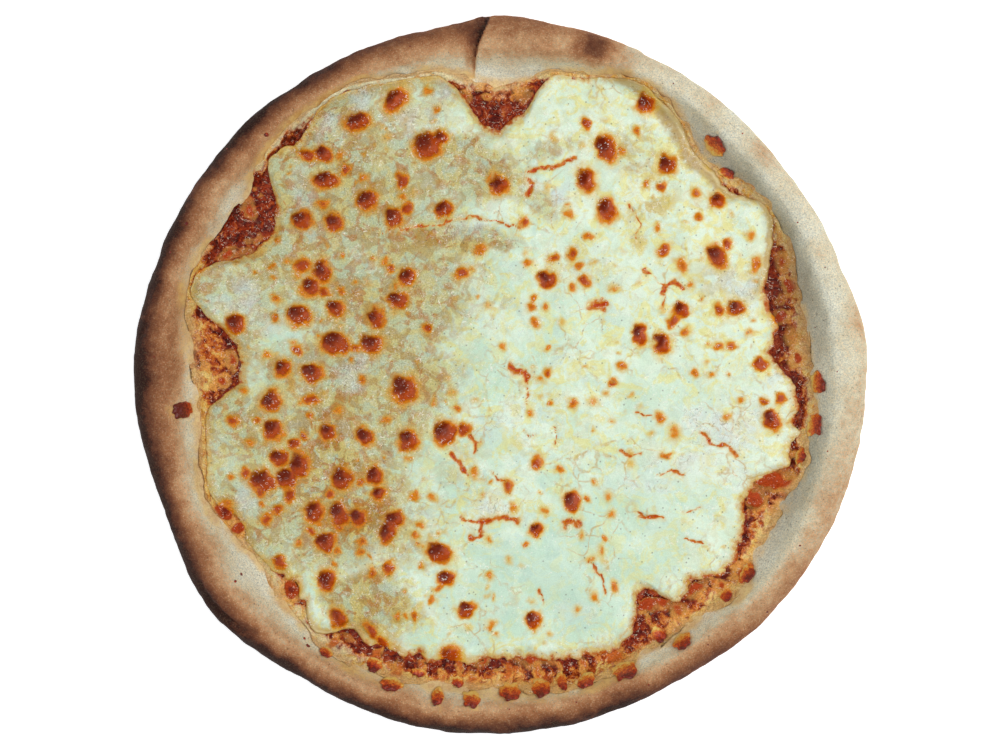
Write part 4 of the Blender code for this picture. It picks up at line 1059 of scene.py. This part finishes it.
def blister_fields(x, y, table, warp):
    """How roasted each point is, 1 at a blister's middle and half at its edge, how scorched with painted
    shade toward the upper left, its rise.
    """
    level, char, rise = np.zeros_like(x), np.zeros_like(x), np.zeros_like(x)
    for row in table:
        x0, y0, length, width = row[:4]
        strength = (*row, 1.0)[5]
        near = np.hypot(x - x0, y - y0) < 1.4 * max(length, width) + 2
        away = oval_distance(x[near], y[near], row, (warp[0][near], warp[1][near]))
        level[near] = np.maximum(level[near], strength * 0.5 ** away**2)
        # The scorched middle moves toward the upper left: painted shade on the side away from the light
        aside = CHAR_SHADE_SHIFT * (length + width)
        scorched_and_shaded = oval_distance(x[near], y[near], row, (warp[0][near] + aside, warp[1][near] - aside))
        char[near] = np.maximum(char[near], strength**2 * 0.5 ** (1.5 * scorched_and_shaded**2))
        dome = BLISTER_RISE * (length + width) / 2 * strength * np.sqrt(np.clip(1 - away**2, 0, 1))
        rise[near] = np.maximum(rise[near], dome)
    return level, char, rise


def patch_field(x, y, table, warp):
    """Soft patches: full strength in the middle, fading out past their edge."""
    total = np.zeros_like(x)
    for row in table:
        total = np.maximum(total, row[5] * (1 - smooth(0.5, 1.5, oval_distance(x, y, row, warp))))
    return total


def scattered_blisters():
    """Seeded tiny blisters, closer together on the left."""
    draw = np.random.default_rng(71)
    rows = []
    for _ in range(620):
        x, y = draw.uniform(-122, 122, 2)
        left = float(smooth(60, -90, x))
        size, strength = draw.uniform(1.6, 4.4), draw.uniform(0.26, 0.60)
        stretch, turn = draw.uniform(0.8, 1.4), draw.uniform(0, 180)
        if draw.uniform() < 0.44 + 0.3 * left:
            rows.append((x, y, size * stretch, size, turn, strength * (0.76 + 0.29 * left)))
    return rows


def build_cheese(material):
    unit_x, unit_y, faces, border = disc_grid(CHEESE_CELLS)
    share, angle = polar(unit_x, unit_y)
    cosine, sine = np.cos(np.radians(angle)), np.sin(np.radians(angle))
    edge_x, edge_y = CHEESE_NOISE_RADIUS * cosine, CHEESE_NOISE_RADIUS * sine
    ragged = 2.8 * patchy(edge_x, edge_y, 11.0, 62) + 2.0 * patchy(edge_x, edge_y, 4.4, 61, 3)
    bay = swelling(angle, SAUCE_BAYS)
    edge = cheese_edge(angle) - bay_rounding(angle) + ragged * smooth(0.0, 6.0, bay + 2.0)
    edge = np.minimum(edge, sauce_edge(angle) - 0.9)
    radius = share * edge
    x, y = radius * cosine, radius * sine
    inward = edge - radius
    warp = [1.1 * patchy(x, y, 4.5, seed, 3) + 0.4 * patchy(x, y, 1.9, seed + 5, 1) for seed in (63, 64)]
    large, large_char_and_shade, dome = blister_fields(x, y, BLISTERS, warp)
    small, small_char_and_shade, low_dome = blister_fields(x, y, (*SMALL_BLISTERS, *scattered_blisters()), warp)
    crack = np.full(x.shape, -3.0)
    for half_width, *points in CRACKS:
        away = stroke_distance(x + 1.2 * warp[0], y + 1.2 * warp[1], points)
        thickness = 0.52 * half_width * (1 + 0.9 * patchy(x, y, 4.0, 70))
        crack = np.maximum(crack, 1 - away / np.maximum(thickness, 0.25))
    wide_warp = [5.0 * patchy(x, y, 14.0, seed, 3) for seed in (72, 73)]
    gold = patch_field(x, y, GOLDEN_PATCHES, wide_warp)
    mint = patch_field(x, y, MINT_PATCHES, wide_warp)
    gold = np.maximum(gold, 0.50 * smooth(20, -50, x) * smooth(-95, -60, y))
    gold = np.clip((gold + 0.2 * patchy(x, y, 20.0, 65)) * (1 - 0.85 * mint), 0, 1)
    tanned = gold * smooth(75, -10, x - 0.5 * (y - 50) + wide_warp[0])
    # Painted light, rising toward the side the light comes from
    sunny = smooth(-10, 95, 0.9 * x + 0.3 * y) * (1 - 0.6 * mint)
    milk = patch_field(x, y, MILKY_SHEEN_PATCHES, wide_warp)
    milk = np.clip(milk * (0.6 + 0.7 * patchy(x, y, 5.0, 66, 3)), 0, 1)
    width = swelling(angle, SKIRT_WIDTH)
    skirt = np.clip(1.1 - inward / np.maximum(width, 0.5), 0, 1) * smooth(1.0, 4.0, width)
    pale_lip = hump(inward - 0.5 * patchy(x, y, 5.0, 67), 1.3, 0.55) * smooth(1.0, 5.0, width)

    # Thin at its border, with a valley behind the skirt's own raised lip
    lip = 0.14 + 0.86 * smooth(-1.5, 6.0, inward)
    under = dough_top(x, y) + GAP + sauce_depth(x, y)
    ridge = 1 - np.abs(patchy(x, y, 6.0, 68, 3))
    relief = dome + low_dome - 0.8 * np.clip(crack + 0.6, 0, 1.2)
    relief = relief + 0.55 * (ridge - 0.7) + 0.14 * patchy(x, y, 2.4, 69, 1) * (0.6 + 1.2 * milk)
    relief = relief * smooth(0, 3, inward)
    relief = relief + 0.9 * skirt * hump(inward, 1.2, 1.0)
    relief = relief - smooth(1, 5, width) * hump(inward, 0.75 * width, 2.2)
    z = under - 0.2 + (cheese_top(x, y) - under + 0.2) * lip + relief
    points = np.column_stack((x, y, z))
    fields = {
        "roast": np.maximum(large, small), "crack": crack, "gold": gold, "milk": milk,
        "inward": inward + 1.5 * (1 - smooth(0, 8, bay)), "skirt": skirt, "lip": pale_lip,
        "mint": mint, "tanned": tanned, "sunny": sunny, "char": np.maximum(large_char_and_shade, small_char_and_shade),
    }

    # The border drops to the sauce and runs back under the sheet
    rings = []
    for inset, drop in BORDER_RINGS:
        ring_radius = radius[border] - inset
        ring_x, ring_y = ring_radius * cosine[border], ring_radius * sine[border]
        base = dough_top(ring_x, ring_y) + GAP + sauce_depth(ring_x, ring_y)
        rings.append(np.column_stack((ring_x, ring_y, base - drop)))
    points, faces = close_under(points, faces, border, rings, rings[-1].mean(axis=0))
    unseen = np.zeros(len(points) - len(x))
    fields = {name: np.concatenate((values, unseen)) for name, values in fields.items()}
    return make_piece("melted_sheet", points, faces, material, fields)


BIT_CELLS = 26


def build_bit(number, bit, material):
    angle, radius, length, width, height, turn = bit
    unit_x, unit_y, faces, border = disc_grid(BIT_CELLS)
    share, turned = polar(unit_x, unit_y)
    edge_x, edge_y = 2 * np.cos(np.radians(turned)), 2 * np.sin(np.radians(turned))
    ragged = 1 + 0.24 * patchy(edge_x, edge_y, 1.0, 81, height=number)
    heading = math.radians(angle)
    lie = heading + math.pi / 2 + math.radians(turn)
    along, across = unit_x * length / 2 * ragged, unit_y * width / 2 * ragged
    across = np.where(across > 0, 0.75 * across, across)
    x = radius * math.cos(heading) + along * math.cos(lie) - across * math.sin(lie)
    y = radius * math.sin(heading) + along * math.sin(lie) + across * math.cos(lie)
    base = sauce_top(x, y)
    dome = np.sqrt(np.clip(1 - share**2, 0, 1))
    outward = np.hypot(x, y) - radius
    tip = 0.50 + 1.3 * outward / width - 0.25 * share**3 + DARKER_BITS.get(number, 0)
    knobs = 0.30 * patchy(x, y, 2.0, 83) + 0.12 * patchy(x, y, 0.9, 84, 1)
    top = base - 0.3 + dome * (height * (0.55 + 0.4 * np.clip(tip, 0, 1)) + 0.3 + knobs)
    points = np.column_stack((x, y, top))
    middle = points[border].mean(axis=0)
    under = middle + (points[border] - middle) * 0.9
    under[:, 2] = points[border][:, 2] - 0.35
    points, faces = close_under(points, faces, border, [under], middle - (0, 0, 0.4))
    fields = {"tip": np.concatenate((tip, np.full(len(border) + 1, 0.3)))}
    return make_piece(f"toasted_piece_{number:02d}", points, faces, material, fields)


FLECK_CELLS = 6


def build_flecks(crust, material):
    """Low ragged domes that sit on the crust's own surface."""
    seat = np.empty(len(crust.data.vertices) * 3)
    crust.data.vertices.foreach_get("co", seat)
    seat = seat.reshape(-1, 3) / MM + (*SHIFT, 0)
    seat = seat[seat[:, 2] > BASE_THICKNESS]
    unit_x, unit_y, fleck_faces, border = disc_grid(FLECK_CELLS)
    fleck_faces = np.array(fleck_faces)
    dome = np.sqrt(np.clip(1 - np.hypot(unit_x, unit_y) ** 2, 0, 1))
    points, faces, count = [], [], len(unit_x)
    for number, (x0, y0, size) in enumerate(RIM_FLECKS):
        nearest = seat[np.argmin(np.hypot(seat[:, 0] - x0, seat[:, 1] - y0))]
        ragged = 1 + 0.25 * patchy(unit_x * 2, unit_y * 2, 1.3, 93, 1, number)
        x, y = x0 + unit_x * ragged * size / 2, y0 + unit_y * ragged * size / 2
        top = nearest[2] - 0.45 + dome * (0.45 + 0.22 * size)
        start = len(points) * count
        for z in (top, np.full(count, nearest[2] - 0.6)):
            points.append(np.column_stack((x, y, z)))
        faces += (fleck_faces + start).tolist() + (fleck_faces[:, ::-1] + start + count).tolist()
        faces += wall(border + start, border + start + count)
    points = np.vstack(points)
    return make_piece("rim_flecks", points, faces, material, {"tip": np.full(len(points), 0.85)})


def dress(piece, node):
    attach(piece, "root")
    if node:
        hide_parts(node)


def add_light(name, direction, elevation, distance, size, power, colour):
    light = bpy.data.lights.new(name, "AREA")
    light.shape = "DISK"
    light.size = size
    light.energy = power
    light.color = colour
    lamp = bpy.data.objects.new(name, light)
    bpy.context.scene.collection.objects.link(lamp)
    turn, lift = math.radians(direction), math.radians(elevation)
    flat = distance * math.cos(lift)
    lamp.location = (flat * math.cos(turn), flat * math.sin(turn), distance * math.sin(lift))
    lamp.rotation_euler = (math.pi / 2 - lift, 0, turn + math.pi / 2)


# The photograph is 1000 pixels wide and the pizza fills 734 of them. Lengths here are in metres.
PHOTO_WIDTH = 0.300 * 1000 / 734
CAMERA_HEIGHT = 1.25
SENSOR = 36.0
FLOOR_HALF = 3.0
FLOOR_DROP = 0.0004
FLOOR_GLOW = 0.60
ROOM_GLOW = 0.15
# Lamps: (name, direction, elevation, distance, size, power, colour)
LAMPS = (
    ("window_light", 18, 56, 1.2, 1.2, 10.4, (1.0, 0.99, 0.98)),
    ("glint_light", 30, 76, 1.1, 0.10, 0.5, (1.0, 1.0, 1.0)),
    ("room_light", 205, 48, 1.3, 1.2, 8.0, (0.97, 0.99, 1.0)),
)


def build_floor():
    mesh = bpy.data.meshes.new("floor")
    corners = [(x * FLOOR_HALF, y * FLOOR_HALF, 0) for x, y in ((-1, -1), (1, -1), (1, 1), (-1, 1))]
    mesh.from_pydata(corners, [], [(0, 1, 2, 3)])
    floor = bpy.data.objects.new("floor", mesh)
    floor.location.z = -FLOOR_DROP
    bpy.context.scene.collection.objects.link(floor)
    paint = bpy.data.materials.new("pale_floor")
    paint.use_nodes = True
    shader = paint.node_tree.nodes["Principled BSDF"]
    shader.inputs["Base Color"].default_value = (0.9, 0.9, 0.9, 1)
    shader.inputs["Roughness"].default_value = 0.9
    shader.inputs["Emission Color"].default_value = (1, 1, 1, 1)
    shader.inputs["Emission Strength"].default_value = FLOOR_GLOW
    mesh.materials.append(paint)


def build_studio():
    scene = bpy.context.scene
    world = bpy.data.worlds.new("soft_room")
    world.use_nodes = True
    background = world.node_tree.nodes["Background"]
    background.inputs["Color"].default_value = (0.95, 0.98, 1.0, 1)
    background.inputs["Strength"].default_value = ROOM_GLOW
    scene.world = world
    scene.view_settings.view_transform = "Standard"
    for lamp in LAMPS:
        add_light(*lamp)
    build_floor()

    camera = bpy.data.cameras.new("overhead_camera")
    camera.sensor_width = SENSOR
    camera.lens = SENSOR * CAMERA_HEIGHT / PHOTO_WIDTH
    eye = bpy.data.objects.new("overhead_camera", camera)
    eye.location = (0, 0, CAMERA_HEIGHT)
    scene.collection.objects.link(eye)
    scene.camera = eye


def main():
    crust = build_crust(dough_finish())
    dress(crust, "crust")
    dress(build_sauce(sauce_finish()), "sauce")
    dress(build_cheese(cheese_finish()), "cheese")
    toasted = toasted_finish()
    for number, bit in enumerate(TOASTED_BITS, start=1):
        dress(build_bit(number, bit, toasted), f"toasted_bit_{number:02d}")
    dress(build_flecks(crust, toasted), None)
    build_studio()


main()
